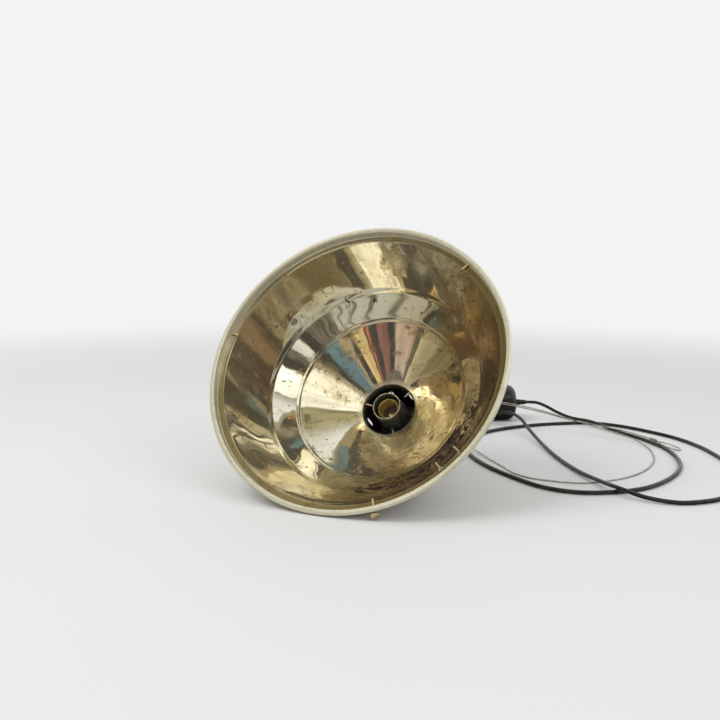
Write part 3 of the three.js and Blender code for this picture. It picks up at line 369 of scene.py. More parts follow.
class Graph:
    """A node tree, with short calls for the nodes that it needs."""

    def __init__(self, tree, coords="Object"):
        self.tree = tree
        self.coords = tree.nodes.new("ShaderNodeTexCoord").outputs[coords]

    def feed(self, socket, value):
        if isinstance(value, bpy.types.NodeSocket):
            self.tree.links.new(value, socket)
        elif isinstance(value, tuple) and len(value) == 3 and socket.type == "RGBA":
            socket.default_value = (*value, 1)
        else:
            socket.default_value = value

    def ray(self, kind):
        """1 where the light path is of a kind, and 0 elsewhere."""
        return self.tree.nodes.new("ShaderNodeLightPath").outputs[kind]

    def noise(self, scale, detail=3, rough=0.5, at=None, twist=0.0):
        """Cloudy values about 0.5."""
        node = self.tree.nodes.new("ShaderNodeTexNoise")
        self.feed(node.inputs["Vector"], at or self.coords)
        node.inputs["Scale"].default_value = scale
        node.inputs["Detail"].default_value = detail
        node.inputs["Roughness"].default_value = rough
        node.inputs["Distortion"].default_value = twist
        return node.outputs["Fac"]

    def cells(self, scale, at=None, output="Distance", square=False):
        """Round or square cells: how near their middles are, or a colour for each."""
        node = self.tree.nodes.new("ShaderNodeTexVoronoi")
        node.distance = "CHEBYCHEV" if square else "EUCLIDEAN"
        self.feed(node.inputs["Vector"], at or self.coords)
        node.inputs["Scale"].default_value = scale
        return node.outputs[output]

    def ramp(self, value, start, end, low=0.0, high=1.0):
        """A smooth step of value from start to end."""
        node = self.tree.nodes.new("ShaderNodeMapRange")
        node.interpolation_type = "SMOOTHSTEP"
        for socket, number in zip(node.inputs[:5], (value, start, end, low, high)):
            self.feed(socket, number)
        return node.outputs["Result"]

    def calc(self, kind, a, b=0.0):
        """The result of one Math node."""
        node = self.tree.nodes.new("ShaderNodeMath")
        node.operation = kind
        for socket, number in zip(node.inputs, (a, b)):
            self.feed(socket, number)
        return node.outputs[0]

    def times(self, *values):
        made = values[0]
        for value in values[1:]:
            made = self.calc("MULTIPLY", made, value)
        return made

    def plus(self, *values):
        made = values[0]
        for value in values[1:]:
            made = self.calc("ADD", made, value)
        return made

    def length(self, x, y):
        return self.calc("SQRT", self.plus(self.times(x, x), self.times(y, y)))

    def off(self, value, middle):
        """How far a value is from the middle."""
        return self.calc("ABSOLUTE", self.calc("SUBTRACT", value, middle))

    def mix(self, share, a, b):
        """Colour a, or b where the share is 1."""
        node = self.tree.nodes.new("ShaderNodeMix")
        node.data_type = "RGBA"
        self.feed(node.inputs[0], share)
        self.feed(node.inputs[6], a)
        self.feed(node.inputs[7], b)
        return node.outputs[2]

    def blend(self, share, a, b):
        """Number a, or b where the share is 1."""
        node = self.tree.nodes.new("ShaderNodeMix")
        self.feed(node.inputs[0], share)
        self.feed(node.inputs[2], a)
        self.feed(node.inputs[3], b)
        return node.outputs[0]

    def scaled(self, vector, factor):
        node = self.tree.nodes.new("ShaderNodeVectorMath")
        node.operation = "SCALE"
        self.feed(node.inputs[0], vector)
        self.feed(node.inputs["Scale"], factor)
        return node.outputs["Vector"]

    def parts(self, vector):
        node = self.tree.nodes.new("ShaderNodeSeparateXYZ")
        self.feed(node.inputs[0], vector)
        return node.outputs

    def vector(self, x, y, z):
        node = self.tree.nodes.new("ShaderNodeCombineXYZ")
        for socket, number in zip(node.inputs, (x, y, z)):
            self.feed(socket, number)
        return node.outputs[0]

    def along(self, vector, way):
        """How far a vector reaches in a direction."""
        node = self.tree.nodes.new("ShaderNodeVectorMath")
        node.operation = "DOT_PRODUCT"
        self.feed(node.inputs[0], vector)
        node.inputs[1].default_value = way
        return node.outputs["Value"]

    def stretched(self, x, y, z, turn=0.0):
        """The coordinates scaled by a number along each axis, and turned about the third."""
        node = self.tree.nodes.new("ShaderNodeMapping")
        self.feed(node.inputs["Vector"], self.coords)
        node.inputs["Rotation"].default_value = (0, 0, turn)
        node.inputs["Scale"].default_value = (x, y, z)
        return node.outputs[0]


class Finish(Graph):
    """The node graph of one material."""

    def __init__(self, name, base, metallic, roughness, on_lamp=False):
        self.material = bpy.data.materials.new(name)
        self.material.use_nodes = True
        super().__init__(self.material.node_tree)
        if on_lamp:
            self.coords = self.lamp_coords()
        self.shader = self.tree.nodes["Principled BSDF"]
        self.set("Metallic", metallic)
        self.set("Roughness", roughness)
        self.set("Base Color", base)

    def set(self, socket, value):
        self.feed(self.shader.inputs[socket], value)

    def lamp_coords(self):
        """Where a point is in the lamp's own coordinates."""
        inverse = LAMP.inverted()
        node = self.tree.nodes.new("ShaderNodeMapping")
        self.feed(node.inputs["Vector"], self.coords)
        node.inputs["Location"].default_value = inverse.translation
        node.inputs["Rotation"].default_value = inverse.to_euler()
        return node.outputs[0]

    def bump(self, height, depth, strength=1.0, after=None):
        """Bump of a depth in metres, on top of the one before."""
        node = self.tree.nodes.new("ShaderNodeBump")
        node.inputs["Strength"].default_value = strength
        node.inputs["Distance"].default_value = depth
        self.feed(node.inputs["Height"], height)
        if after is not None:
            self.feed(node.inputs["Normal"], after)
        self.set("Normal", node.outputs["Normal"])
        return node.outputs["Normal"]

    def round_axis(self, around, out):
        """Coordinates that follow the turning marks round the lamp's axis."""
        x, y, z = self.parts(self.coords)
        r = self.length(x, y)
        turn_x, turn_y = self.calc("DIVIDE", x, r), self.calc("DIVIDE", y, r)
        return self.vector(self.times(turn_x, around), self.times(turn_y, around),
                           self.times(self.plus(r, z), out))


# The bright face's colours. Below, x grows to the right, y down and r out from the axis, in
# metres, and a share runs from 0 to 1
POLISH_PALE, POLISH_WARM = (0.90, 0.86, 0.73), (0.80, 0.73, 0.53)
STREAK_COLOUR = (0.60, 0.48, 0.27)
STAIN_COLOUR = (0.50, 0.37, 0.18)
FRECKLE_COLOUR = (0.20, 0.13, 0.06)
TIDE_COLOUR = (0.10, 0.06, 0.03)
TARNISH_COLOUR = (0.33, 0.245, 0.105)
# Painted reflection: a darker olive tint on the flat ledge inside the bead, standing for the dark
# things it mirrors
LEDGE_PAINTED_REFLECTION = (0.30, 0.25, 0.13)
PEEL_LIGHT, PEEL_DARK = (0.46, 0.25, 0.09), (0.24, 0.12, 0.045)
RUST_DARK, RUST_ORANGE = (0.018, 0.012, 0.008), (0.22, 0.10, 0.035)


def rust_share(g, r, low_right):
    """A crust along the lower right of the inner ring, flecks on the worn side, and pits."""
    band = g.ramp(g.off(r, 0.139), 0.016, 0.004)
    crust_zone = g.times(g.ramp(low_right, 0.084, 0.115), band)
    crust = g.plus(g.noise(78, 8, 0.74, twist=0.7), g.times(crust_zone, 0.165))
    worn_zone = g.times(g.ramp(low_right, -0.02, 0.12), g.ramp(r, 0.192, 0.17))
    flecks = g.plus(g.noise(190, 6, 0.7), g.times(worn_zone, 0.07))
    pits = g.times(g.ramp(g.cells(95), 0.085, 0.05), g.ramp(g.noise(37, 3), 0.46, 0.56))
    eaten = g.calc("MAXIMUM", g.ramp(crust, 0.63, 0.645), g.ramp(flecks, 0.685, 0.705))
    return g.calc("MAXIMUM", eaten, pits)


def peel_share(g, x, y, r):
    """Orange patches low on the cone, where the plating has peeled."""
    zone = g.times(g.ramp(y, 0.015, 0.05), g.ramp(r, 0.125, 0.112), g.ramp(x, -0.05, 0.0))
    patches = g.plus(g.noise(50, 7, 0.74, twist=1.2), g.times(zone, 0.1))
    return g.times(g.ramp(patches, 0.63, 0.655), zone)


def film_shares(g, right):
    """Brown films, most on the right: their stain, their freckles and their dried edges."""
    film = g.plus(g.noise(21, 8, 0.66, twist=0.9), g.times(right, 0.13))
    freckle = g.times(g.ramp(g.noise(120, 6, 0.7), 0.5, 0.62), g.ramp(film, 0.5, 0.62))
    edge = g.ramp(g.off(g.noise(11, 5, 0.55, twist=0.5), 0.5), 0.005, 0.001)
    return g.ramp(film, 0.54, 0.66), freckle, g.times(edge, g.ramp(g.noise(6, 2), 0.52, 0.6))


def mirror_metal():
    """Old nickel polish on the bright face: haze, stains, tide marks, pits and rust, and a painted
    dark reflection on the ledge.
    """
    g = Finish("old_mirror_polish", (0.80, 0.76, 0.64), 1.0, 0.05, on_lamp=True)
    x, y, _ = g.parts(g.coords)
    r = g.length(x, y)
    right = g.ramp(g.plus(x, g.times(y, 0.2)), -0.02, 0.11)
    rust = rust_share(g, r, g.plus(g.times(x, 0.68), g.times(y, 0.73)))
    peel = peel_share(g, x, y, r)
    stain, freckle, tide = film_shares(g, right)
    streaks = g.ramp(g.noise(1.0, 4, 0.6, g.stretched(150, 12, 12, 0.35)), 0.56, 0.76)
    # Painted reflection: the ring of the ledge between the wall and the bead, tinted darker olive
    ledge_painted_reflection = g.times(g.ramp(r, 0.1845, 0.1852), g.ramp(r, 0.1932, 0.1925))
    warm = g.ramp(g.noise(9, 3, 0.6, twist=0.4), 0.35, 0.7)
    orange = g.mix(g.ramp(g.noise(200, 3), 0.45, 0.6), PEEL_LIGHT, PEEL_DARK)
    brown = g.mix(g.ramp(g.noise(160, 3), 0.52, 0.64), RUST_DARK, RUST_ORANGE)
    colour = g.mix(warm, POLISH_PALE, POLISH_WARM)
    for share, most, over in (
        (streaks, 0.35, STREAK_COLOUR),
        (stain, 0.5, STAIN_COLOUR),
        (freckle, 0.6, FRECKLE_COLOUR),
        (tide, 0.7, TIDE_COLOUR),
        (right, 0.66, TARNISH_COLOUR),
        (ledge_painted_reflection, 0.6, LEDGE_PAINTED_REFLECTION),
        (peel, 0.85, orange),
    ):
        colour = g.mix(g.times(share, most), colour, over)
    g.set("Base Color", g.mix(rust, colour, brown))
    haze = g.ramp(g.noise(13, 5, 0.68, twist=0.6), 0.48, 0.74)
    lip = g.ramp(r, 0.046, 0.042)
    rough = g.plus(g.blend(haze, 0.035, 0.13), g.times(stain, 0.10), g.times(lip, 0.17),
                   g.times(freckle, 0.15), g.times(peel, 0.35))
    g.set("Roughness", g.blend(rust, rough, 0.8))
    g.set("Metallic", g.calc("SUBTRACT", 0.95, g.plus(g.times(rust, 0.85), g.times(peel, 0.4))))
    slack = g.bump(g.noise(12, 2, 0.45, twist=0.3), 0.9 * MM)
    ripple = g.bump(g.noise(1.0, 2, 0.5, g.round_axis(2.6, 50)), 0.06 * MM, after=slack)
    spun = g.bump(g.noise(1.0, 3, 0.6, g.round_axis(7.0, 1500)), 0.003 * MM, after=ripple)
    g.bump(g.plus(rust, g.times(tide, 0.4)), 0.12 * MM, 0.6, spun)
    return g.material


def bead_metal():
    """The rolled edge: pale satin nickel, worn to brass in specks."""
    g = Finish("satin_bead", (0.89, 0.87, 0.67), 0.64, 0.28, on_lamp=True)
    brushed = g.noise(1.0, 4, 0.6, g.round_axis(5.0, 2200.0))
    worn = g.ramp(g.noise(48, 5, 0.7), 0.5, 0.66)
    specks = g.times(g.ramp(g.noise(330, 4, 0.6), 0.58, 0.64), g.ramp(g.noise(30, 3), 0.46, 0.6))
    colour = g.mix(worn, (0.91, 0.89, 0.70), (0.77, 0.71, 0.45))
    colour = g.mix(g.times(specks, 0.8), colour, (0.24, 0.15, 0.06))
    g.set("Base Color", g.mix(g.ramp(brushed, 0.3, 0.7), colour, (0.84, 0.81, 0.68)))
    g.set("Roughness", g.plus(g.blend(worn, 0.27, 0.4), g.times(brushed, 0.1)))
    g.bump(g.calc("SUBTRACT", g.times(brushed, 0.3), specks), 0.06 * MM, 0.6)
    return g.material


def back_metal():
    """The unpolished outside of the spinning: grey nickel with turning marks and brown bloom."""
    g = Finish("spun_back", (0.6, 0.56, 0.47), 1.0, 0.3, on_lamp=True)
    marks = g.noise(1.0, 5, 0.6, g.round_axis(1.5, 700.0))
    bloom = g.ramp(g.noise(16, 5, 0.65, twist=0.5), 0.45, 0.68)
    spots = g.ramp(g.noise(180, 4, 0.6), 0.64, 0.7)
    colour = g.mix(bloom, (0.72, 0.68, 0.56), (0.58, 0.50, 0.36))
    g.set("Base Color", g.mix(g.times(spots, bloom), colour, (0.1, 0.055, 0.025)))
    g.set("Roughness", g.plus(g.blend(bloom, 0.13, 0.26), g.times(marks, 0.1)))
    g.bump(marks, 0.01 * MM, 0.6)
    return g.material


def neck_metal():
    """Inside the neck: the plating browned by the lamp's heat."""
    g = Finish("heat_browned_neck", (0.3, 0.2, 0.12), 0.55, 0.4, on_lamp=True)
    soot = g.ramp(g.noise(60, 5, 0.7), 0.4, 0.65)
    g.set("Base Color", g.mix(soot, (0.36, 0.29, 0.17), (0.12, 0.085, 0.05)))
    g.set("Roughness", g.blend(soot, 0.3, 0.6))
    g.bump(g.noise(400, 3, 0.6), 0.05 * MM, 0.4)
    return g.material


def plated(name, bright, worn, base_rough, grain=500, metallic=1.0):
    """Small plated parts: a bright colour that wears and dulls in patches."""
    g = Finish(name, bright, metallic, base_rough)
    patch = g.ramp(g.noise(130, 5, 0.65), 0.42, 0.66)
    specks = g.ramp(g.noise(grain * 2, 3, 0.6), 0.64, 0.7)
    colour = g.mix(patch, bright, worn)
    g.set("Base Color", g.mix(g.times(specks, 0.7), colour, tuple(v * 0.25 for v in worn)))
    g.set("Roughness", g.plus(g.blend(patch, base_rough, base_rough + 0.22), g.times(specks, 0.2)))
    g.bump(g.noise(grain, 4, 0.6), 0.04 * MM, 0.35)
    return g.material


def enamel():
    """Black stove enamel, browned inside by heat and dust, with fine scuffs outside."""
    g = Finish("black_enamel_coat", (0.012, 0.012, 0.013), 0.0, 0.3)
    dust = g.ramp(g.noise(38, 5, 0.7), 0.5, 0.74)
    scuffs = g.ramp(g.noise(1.0, 3, 0.6, g.stretched(60, 900, 240, 0.4)), 0.66, 0.74)
    colour = g.mix(g.times(dust, 0.5), (0.011, 0.011, 0.012), (0.045, 0.042, 0.037))
    g.set("Base Color", g.mix(g.times(scuffs, 0.5), colour, (0.09, 0.088, 0.085)))
    g.set("Roughness", g.plus(g.blend(dust, 0.24, 0.44), g.times(scuffs, 0.2)))
    orange_peel = g.bump(g.noise(420, 2, 0.4), 0.05 * MM, 0.4)
    g.bump(scuffs, 0.02 * MM, 0.4, orange_peel)
    return g.material


def sooty_enamel():
    """The collar's enamel, gone matt and brown-black from heat."""
    g = Finish("sooty_enamel", (0.016, 0.014, 0.012), 0.0, 0.6)
    soot = g.ramp(g.noise(70, 5, 0.7), 0.42, 0.68)
    flakes = g.ramp(g.noise(260, 4, 0.65), 0.6, 0.68)
    colour = g.mix(soot, (0.010, 0.010, 0.010), (0.034, 0.027, 0.020))
    g.set("Base Color", g.mix(g.times(flakes, 0.4), colour, (0.07, 0.05, 0.035)))
    g.set("Roughness", g.blend(soot, 0.42, 0.72))
    g.bump(g.plus(g.noise(350, 3, 0.6), flakes), 0.08 * MM, 0.5)
    return g.material


def moulded(name, dark, pale, rough):
    """A moulded or fired piece that isn't metal, with a fine grain and handling marks."""
    g = Finish(name, dark, 0.0, rough)
    cloud = g.ramp(g.noise(90, 5, 0.65), 0.38, 0.7)
    marks = g.ramp(g.noise(1.0, 3, 0.6, g.stretched(90, 1300, 500, 0.9)), 0.66, 0.76)
    colour = g.mix(cloud, dark, pale)
    g.set("Base Color", g.mix(g.times(marks, 0.4), colour, tuple(v * 1.7 for v in pale)))
    g.set("Roughness", g.plus(g.blend(cloud, rough, rough + 0.15), g.times(marks, 0.1)))
    g.bump(g.noise(1400, 3, 0.55), 0.04 * MM, 0.4)
    return g.material


def dark_shell():
    """The lampholder's shell: dark grey-green metal, rubbed paler in patches."""
    g = Finish("rubbed_gunmetal", (0.12, 0.125, 0.11), 0.5, 0.33, on_lamp=True)
    rubbed = g.ramp(g.noise(90, 5, 0.7), 0.42, 0.66)
    lines = g.noise(1.0, 3, 0.6, g.round_axis(6.0, 1800.0))
    colour = g.mix(rubbed, (0.085, 0.09, 0.08), (0.20, 0.20, 0.165))
    g.set("Base Color", g.mix(g.times(lines, 0.25), colour, (0.28, 0.27, 0.23)))
    g.set("Roughness", g.plus(g.blend(rubbed, 0.27, 0.38), g.times(lines, 0.08)))
    g.bump(lines, 0.006 * MM, 0.5)
    return g.material


def sheath():
    """Black cable sheath: smooth, slightly waxy, with dust and rub marks."""
    g = Finish("cable_sheath_black", (0.014, 0.014, 0.015), 0.0, 0.34)
    dust = g.ramp(g.noise(55, 5, 0.7), 0.48, 0.72)
    rub = g.ramp(g.noise(300, 4, 0.65), 0.56, 0.68)
    colour = g.mix(dust, (0.012, 0.012, 0.013), (0.035, 0.034, 0.033))
    g.set("Base Color", g.mix(g.times(rub, 0.35), colour, (0.07, 0.068, 0.065)))
    g.set("Roughness", g.plus(g.blend(dust, 0.27, 0.44), g.times(rub, 0.08)))
    g.bump(g.noise(900, 3, 0.5), 0.04 * MM, 0.4)
    return g.material


MIRROR = mirror_metal()
BEAD = bead_metal()
BACK = back_metal()
NECK = neck_metal()
NICKEL = plated("worn_nickel", (0.72, 0.70, 0.64), (0.42, 0.37, 0.28), 0.2)
STEEL = plated("dull_steel", (0.5, 0.5, 0.49), (0.3, 0.27, 0.23), 0.32)
HOLDER_STEEL = plated("pale_holder_ring", (0.74, 0.74, 0.66), (0.46, 0.44, 0.36), 0.22,
                      metallic=0.8)
WIRE = plated("wire_strands", (0.58, 0.58, 0.56), (0.36, 0.35, 0.32), 0.3, 900)
BRASS = plated("old_brass", (0.86, 0.72, 0.40), (0.50, 0.37, 0.17), 0.24, metallic=0.8)
SLEEVE_BRASS = plated("sleeve_brass", (0.80, 0.62, 0.22), (0.52, 0.38, 0.14), 0.26, metallic=0.65)
ENAMEL = enamel()
SOOTY = sooty_enamel()
GUNMETAL = dark_shell()
CERAMIC = moulded("fired_insulator", (0.11, 0.075, 0.05), (0.2, 0.15, 0.11), 0.5)
BLACK_PLASTIC = moulded("moulded_black", (0.014, 0.014, 0.016), (0.035, 0.034, 0.034), 0.36)
WHITE_PLASTIC = moulded("moulded_white", (0.62, 0.60, 0.54), (0.50, 0.47, 0.40), 0.4)
SHEATH = sheath()


def give(piece, *materials):
    """Set the materials. Clearing resets which face takes which, so it is for old ones alone."""
    if piece.data.materials:
        piece.data.materials.clear()
    for material in materials:
        piece.data.materials.append(material)


# A point of a profile this near to the axis lies on it
ON_AXIS = 0.0001 * MM


def turned(name, profile, sides, marks):
    """A closed [radius, depth] profile turned about +Z. marks gives each span's material slot."""
    angles = np.arange(sides) * 2 * math.pi / sides
    verts, rows = [], []
    for r, z in profile:
        if r < ON_AXIS:
            rows.append([len(verts)] * sides)
            verts.append((0, 0, z))
        else:
            rows.append(list(range(len(verts), len(verts) + sides)))
            verts += [(r * math.cos(a), r * math.sin(a), z) for a in angles]
    faces, slots = [], []
    for a, b, mark in zip(rows, [*rows[1:], rows[0]], marks):
        if a[0] == a[1] and b[0] == b[1]:
            continue
        for k in range(sides):
            j = (k + 1) % sides
            faces.append(list(dict.fromkeys((a[k], b[k], b[j], a[j]))))
            slots.append(mark)
    piece = new_piece(name, verts, faces)
    piece.data.polygons.foreach_set("material_index", slots)
    face_out(piece)
    return piece


def face_out(piece):
    """Turn every face of a closed piece outwards."""
    mesh = bmesh.new()
    mesh.from_mesh(piece.data)
    bmesh.ops.recalc_face_normals(mesh, faces=mesh.faces)
    mesh.to_mesh(piece.data)
    mesh.free()


def crisp(piece, degrees=35):
    """Smooth shading that keeps the edges sharper than an angle."""
    piece.data.shade_smooth()
    piece.data.set_sharp_from_angle(angle=math.radians(degrees))


def arc(r, z, radius, start, end, count):
    """Points on an arc round [r, z], from one angle in degrees to another."""
    angles = [math.radians(start + (end - start) * i / count) for i in range(count + 1)]
    return [(r + radius * math.cos(a), z + radius * math.sin(a)) for a in angles]


def bend(a, corner, b, count):
    """A quadratic curve from a to b that heads for the corner."""
    a, corner, b = (np.array(p) for p in (a, corner, b))
    ts = np.linspace(0, 1, count + 1)
    return [tuple((1 - t) ** 2 * a + 2 * t * (1 - t) * corner + t**2 * b) for t in ts]


def unit(a, b):
    """The direction from one point to another."""
    way = np.array(b) - np.array(a)
    return way / np.linalg.norm(way)


def offset_line(line, distance):
    """The same open line moved sideways by a distance, its corners kept square."""
    made = []
    for i, point in enumerate(line):
        first = unit(line[max(i - 1, 0)], line[max(i, 1)])
        second = unit(line[min(i, len(line) - 2)], line[min(i + 1, len(line) - 1)])
        n1, n2 = np.array((first[1], -first[0])), np.array((second[1], -second[0]))
        made.append(tuple(np.array(point) + (n1 + n2) / (1 + n1 @ n2) * distance))
    return made


def eased(line, reach, count=5, sharp=12, most=0.45):
    """The same line with each corner sharper than an angle turned into a short curve, which
    takes at most a share of the spans beside it."""
    made = [tuple(line[0])]
    for before, corner, after in zip(line, line[1:], line[2:]):
        back, on = unit(corner, before), unit(corner, after)
        if -back @ on > math.cos(math.radians(sharp)):
            made.append(tuple(corner))
            continue
        room = min(math.dist(corner, before), math.dist(corner, after)) * most
        cut = min(reach, room)
        made += bend(np.array(corner) + back * cut, corner, np.array(corner) + on * cut, count)
    return [*made, tuple(line[-1])]


def filled(line, step):
    """The same line with points added where two stand further apart than a step."""
    made = [tuple(line[0])]
    for a, b in zip(line, line[1:]):
        count = max(1, math.ceil(math.dist(a, b) / step))
        made += [tuple(np.array(a) + (np.array(b) - a) * i / count) for i in range(1, count + 1)]
    return made


def ring_line(ring, points):
    """The stepped line of a ring."""
    return [(ring[0] + RING_STEP * out, ring[1] + RING_STEP * back) for out, back in points]


def bright_line():
    """Cross-section of the bright face, from inside the neck out to the bead."""
    fall = math.atan2(CONE_END[1] - RING_2[1], RING_2[0] - CONE_END[0])
    lip_r = LIP_IN_R + LIP_R
    lip_z = CONE_END[1] + (LIP_R - (lip_r - CONE_END[0]) * math.sin(fall)) / math.cos(fall)
    lip = arc(lip_r, lip_z, LIP_R, 180, 270 - math.degrees(fall), LIP_SPANS)
    *ring_1, foot = ring_line(RING_1, RING_1_POINTS)
    rings = ring_line(RING_2, RING_2_POINTS) + ring_1
    top = (LEDGE_IN_R, LEDGE_DEPTH)
    away = unit(foot, top)
    swell = np.array((-away[1], away[0])) * WALL_BULGE * 2
    swell = swell if swell[0] > 0 else -swell
    wall = bend(foot, (np.array(foot) + top) / 2 + swell, top, WALL_SPANS)
    wall_in = RIM_R - BEAD_R * 2
    return [(LIP_IN_R, NECK_END), *lip, *rings, *wall, (wall_in, LEDGE_DEPTH), (wall_in, BEAD_R)]


# Material slots of the reflector, and how near to its edges a span still counts as the rim
ON_MIRROR, ON_RIM, ON_BACK, IN_NECK = range(4)
RIM_MARGIN, LEDGE_MARGIN = 0.5 * MM, 0.2 * MM


def slot_at(a, b):
    """The material slot of a span of the bright face: neck, satin rim or mirror."""
    r, z = (a[0] + b[0]) / 2, (a[1] + b[1]) / 2
    if z > NECK_END - NECK_BROWNED:
        return IN_NECK
    on_rim = r > RIM_R - BEAD_R * 2 - RIM_MARGIN and z < LEDGE_DEPTH - LEDGE_MARGIN
    return ON_RIM if on_rim else ON_MIRROR


def press_dents(piece, line):
    """Push the sheet out a little at its dents, both faces together."""
    radii = np.array([p[0] for p in line])
    depths = np.array([p[1] for p in line])
    at = np.array([v.co for v in piece.data.vertices])
    for r, turn, spread, depth in DENTS:
        a = math.radians(turn)
        out = np.array((math.sin(a), -math.cos(a), 0))
        centre = out * r + (0, 0, float(np.interp(r, radii, depths)))
        gaps = np.linalg.norm(at - centre, axis=1)
        at += out * (depth * np.exp(-0.5 * (gaps / spread) ** 2))[:, None]
    piece.data.vertices.foreach_set("co", at.ravel())


def make_reflector():
    """The spun sheet with its rolled edge, in place of its solid."""
    coarse = bright_line()
    bright = filled(eased(coarse, BRIGHT_EASE), LONGEST_SPAN)
    dull = filled(eased(offset_line(coarse, -SHEET), DULL_EASE), LONGEST_SPAN)
    bead = RIM_R - BEAD_R
    roll_out = arc(bead, BEAD_R, BEAD_R, ROLL_START, ROLL_END, ROLL_OUT_SPANS)[1:]
    roll_in = arc(bead, BEAD_R, BEAD_R - SHEET, ROLL_END, ROLL_START, ROLL_IN_SPANS)[:-1]
    profile = [*bright, *roll_out, *roll_in, *dull[::-1]]
    slots = [slot_at(a, b) for a, b in zip(bright, bright[1:])]
    slots += [ON_RIM] * (len(roll_out) + 1)
    slots += [ON_BACK] * (len(profile) - len(slots))
    piece = turned("reflector_spinning", profile, BOWL_SIDES, slots)
    press_dents(piece, coarse)
    piece.data.transform(LAMP)
    give(piece, MIRROR, BEAD, BACK, NECK)
    crisp(piece, BOWL_SHARP)
    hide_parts("reflector")


def bolt_profile():
    """A threaded shank with a low domed head, as [radius, distance from the lamp's axis]."""
    tip = [(0, BOLT_TIP), (BOLT_R * BOLT_FLAT, BOLT_TIP)]
    count = round((BOLT_HEAD_FRONT - BOLT_TIP - BOLT_PITCH) / BOLT_PITCH)
    thread = []
    for i in range(count):
        at = BOLT_TIP + BOLT_PITCH * (i + 0.5)
        thread += [(BOLT_R * BOLT_ROOT, at), (BOLT_R, at + BOLT_PITCH / 2)]
    shoulder = (BOLT_HEAD_R * BOLT_SHOULDER, BOLT_HEAD_BACK - BOLT_SHOULDER_DROP)
    head = [(BOLT_R, BOLT_HEAD_FRONT), (BOLT_HEAD_R, BOLT_HEAD_FRONT),
            (BOLT_HEAD_R, BOLT_HEAD_EDGE), shoulder, (0, BOLT_HEAD_BACK)]
    return [*tip, *thread, *head]


def round_edges(piece, width):
    """Bevel the edges that are sharper than an angle."""
    bevel = piece.modifiers.new("edges", "BEVEL")
    bevel.width = width
    bevel.segments = BEVEL_SEGMENTS
    bevel.limit_method = "ANGLE"
    return bevel


def circle(radius, count, start=0.0):
    """Points round +Z at a radius, from an angle on."""
    angles = [start + math.tau * k / count for k in range(count)]
    return [(radius * math.cos(a), radius * math.sin(a)) for a in angles]


def square_nut(name):
    """A square nut round +Z with a round bore."""
    bore = NUT_BORE_SIDES
    ring = circle(NUT_HALF * math.sqrt(2), 4, math.pi / 4) + circle(NUT_BORE_R, bore)
    n = len(ring)
    faces = []
    for k in range(4):
        j = (k + 1) % 4
        faces.append((k, j, n + j, n + k))
    for k in range(bore):
        j = (k + 1) % bore
        faces.append((4 + k, n + 4 + k, n + 4 + j, 4 + j))
    quarter = bore // 4
    for base in (0, n):
        for k in range(4):
            # Each side of the square and the quarter of the bore that faces it
            near = [base + 4 + (quarter // 2 + quarter * k + j) % bore for j in range(quarter + 1)]
            faces.append((base + k, base + (k + 1) % 4, *near[::-1]))
    nut = new_piece(name, [(x, y, z) for z in NUT_SPAN for x, y in ring], faces)
    face_out(nut)
    return nut


def make_rim_bolt(number, turn, nut_turn):
    """A bolt through the rim wall with a square nut on its inner end."""
    a = math.radians(turn)
    out = Vector((math.sin(a), -math.cos(a), 0))
    along = Vector((0, 0, 1))
    place = Matrix((along.cross(out), along, out)).transposed().to_4x4()
    place.translation = along * BOLT_DEPTH
    profile = bolt_profile()
    bolt = turned(f"rim_bolt_{number}", profile, BOLT_SIDES, [0] * len(profile))
    give(bolt, BRASS)
    crisp(bolt)
    bolt.data.transform(LAMP @ place)
    nut = square_nut(f"rim_nut_{number}")
    nut.data.transform(LAMP @ place @ Matrix.Rotation(math.radians(nut_turn), 4, "Z"))
    give(nut, NICKEL)
    crisp(nut)
    round_edges(nut, NUT_BEVEL)


make_reflector()
for number, bolt in enumerate(RIM_BOLTS, 1):
    make_rim_bolt(number, *bolt)
give(cable, SHEATH)
give(wire, WIRE)

# Materials and edges of the pieces that keep their solid shape
KEPT = {
    "rim_wire": STEEL, "rim_bush_1": NICKEL, "rim_bush_2": NICKEL, "rim_bush_3": NICKEL,
    "rim_screw_1": BRASS, "rim_screw_2": BRASS, "rim_screw_3": BRASS,
    "neck_screw_1": NICKEL, "neck_screw_2": NICKEL, "neck_screw_3": NICKEL,
    "neck_collar": SOOTY, "rear_cap": ENAMEL,
    "cap_screw_1": NICKEL, "cap_screw_2": NICKEL, "cap_screw_3": NICKEL,
    "lampholder_ring": HOLDER_STEEL, "lampholder_shell": GUNMETAL, "lampholder_cap": GUNMETAL,
    "screw_sleeve": SLEEVE_BRASS, "insulator": CERAMIC, "centre_contact": BRASS,
    "terminal_1": BRASS, "terminal_2": BRASS, "nipple": STEEL, "inner_nut": STEEL,
    "hanger_plate": STEEL, "outer_nut": STEEL, "cord_grip": BLACK_PLASTIC,
    "strain_relief": BLACK_PLASTIC, "lamp_loop": WIRE, "lamp_ferrule": STEEL,
    "end_loop": WIRE, "end_ferrule": STEEL, "canopy_cup": ENAMEL,
    "canopy_grip": BLACK_PLASTIC, "canopy_relief": BLACK_PLASTIC,
    "canopy_screw_1": NICKEL, "canopy_screw_2": NICKEL, "ceiling_bracket": STEEL,
    "terminal_block": WHITE_PLASTIC,
}


def dress_kept():
    """Give each of these solids its material and rounded edges, and leave its mesh alone."""
    for node, material in KEPT.items():
        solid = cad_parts[node]
        give(solid, material)
        solid.data.shade_smooth()
        weld = solid.modifiers.new("weld", "WELD")
        weld.merge_threshold = WELD_DISTANCE
        bevel = round_edges(solid, EDGE_BEVEL)
        bevel.angle_limit = EDGE_ANGLE
        bevel.harden_normals = True


dress_kept()


# The floor, which goes over into the backdrop between two distances
BACKDROP = (0.9, 0.9, 0.9)
FLOOR_SIZE = 14
FLOOR_HEIGHT = -0.2 * MM
FLOOR_PALE, FLOOR_GREY = (0.89, 0.89, 0.885), (0.87, 0.87, 0.865)
BACKDROP_FROM, BACKDROP_FULL = 1.0, 2.6
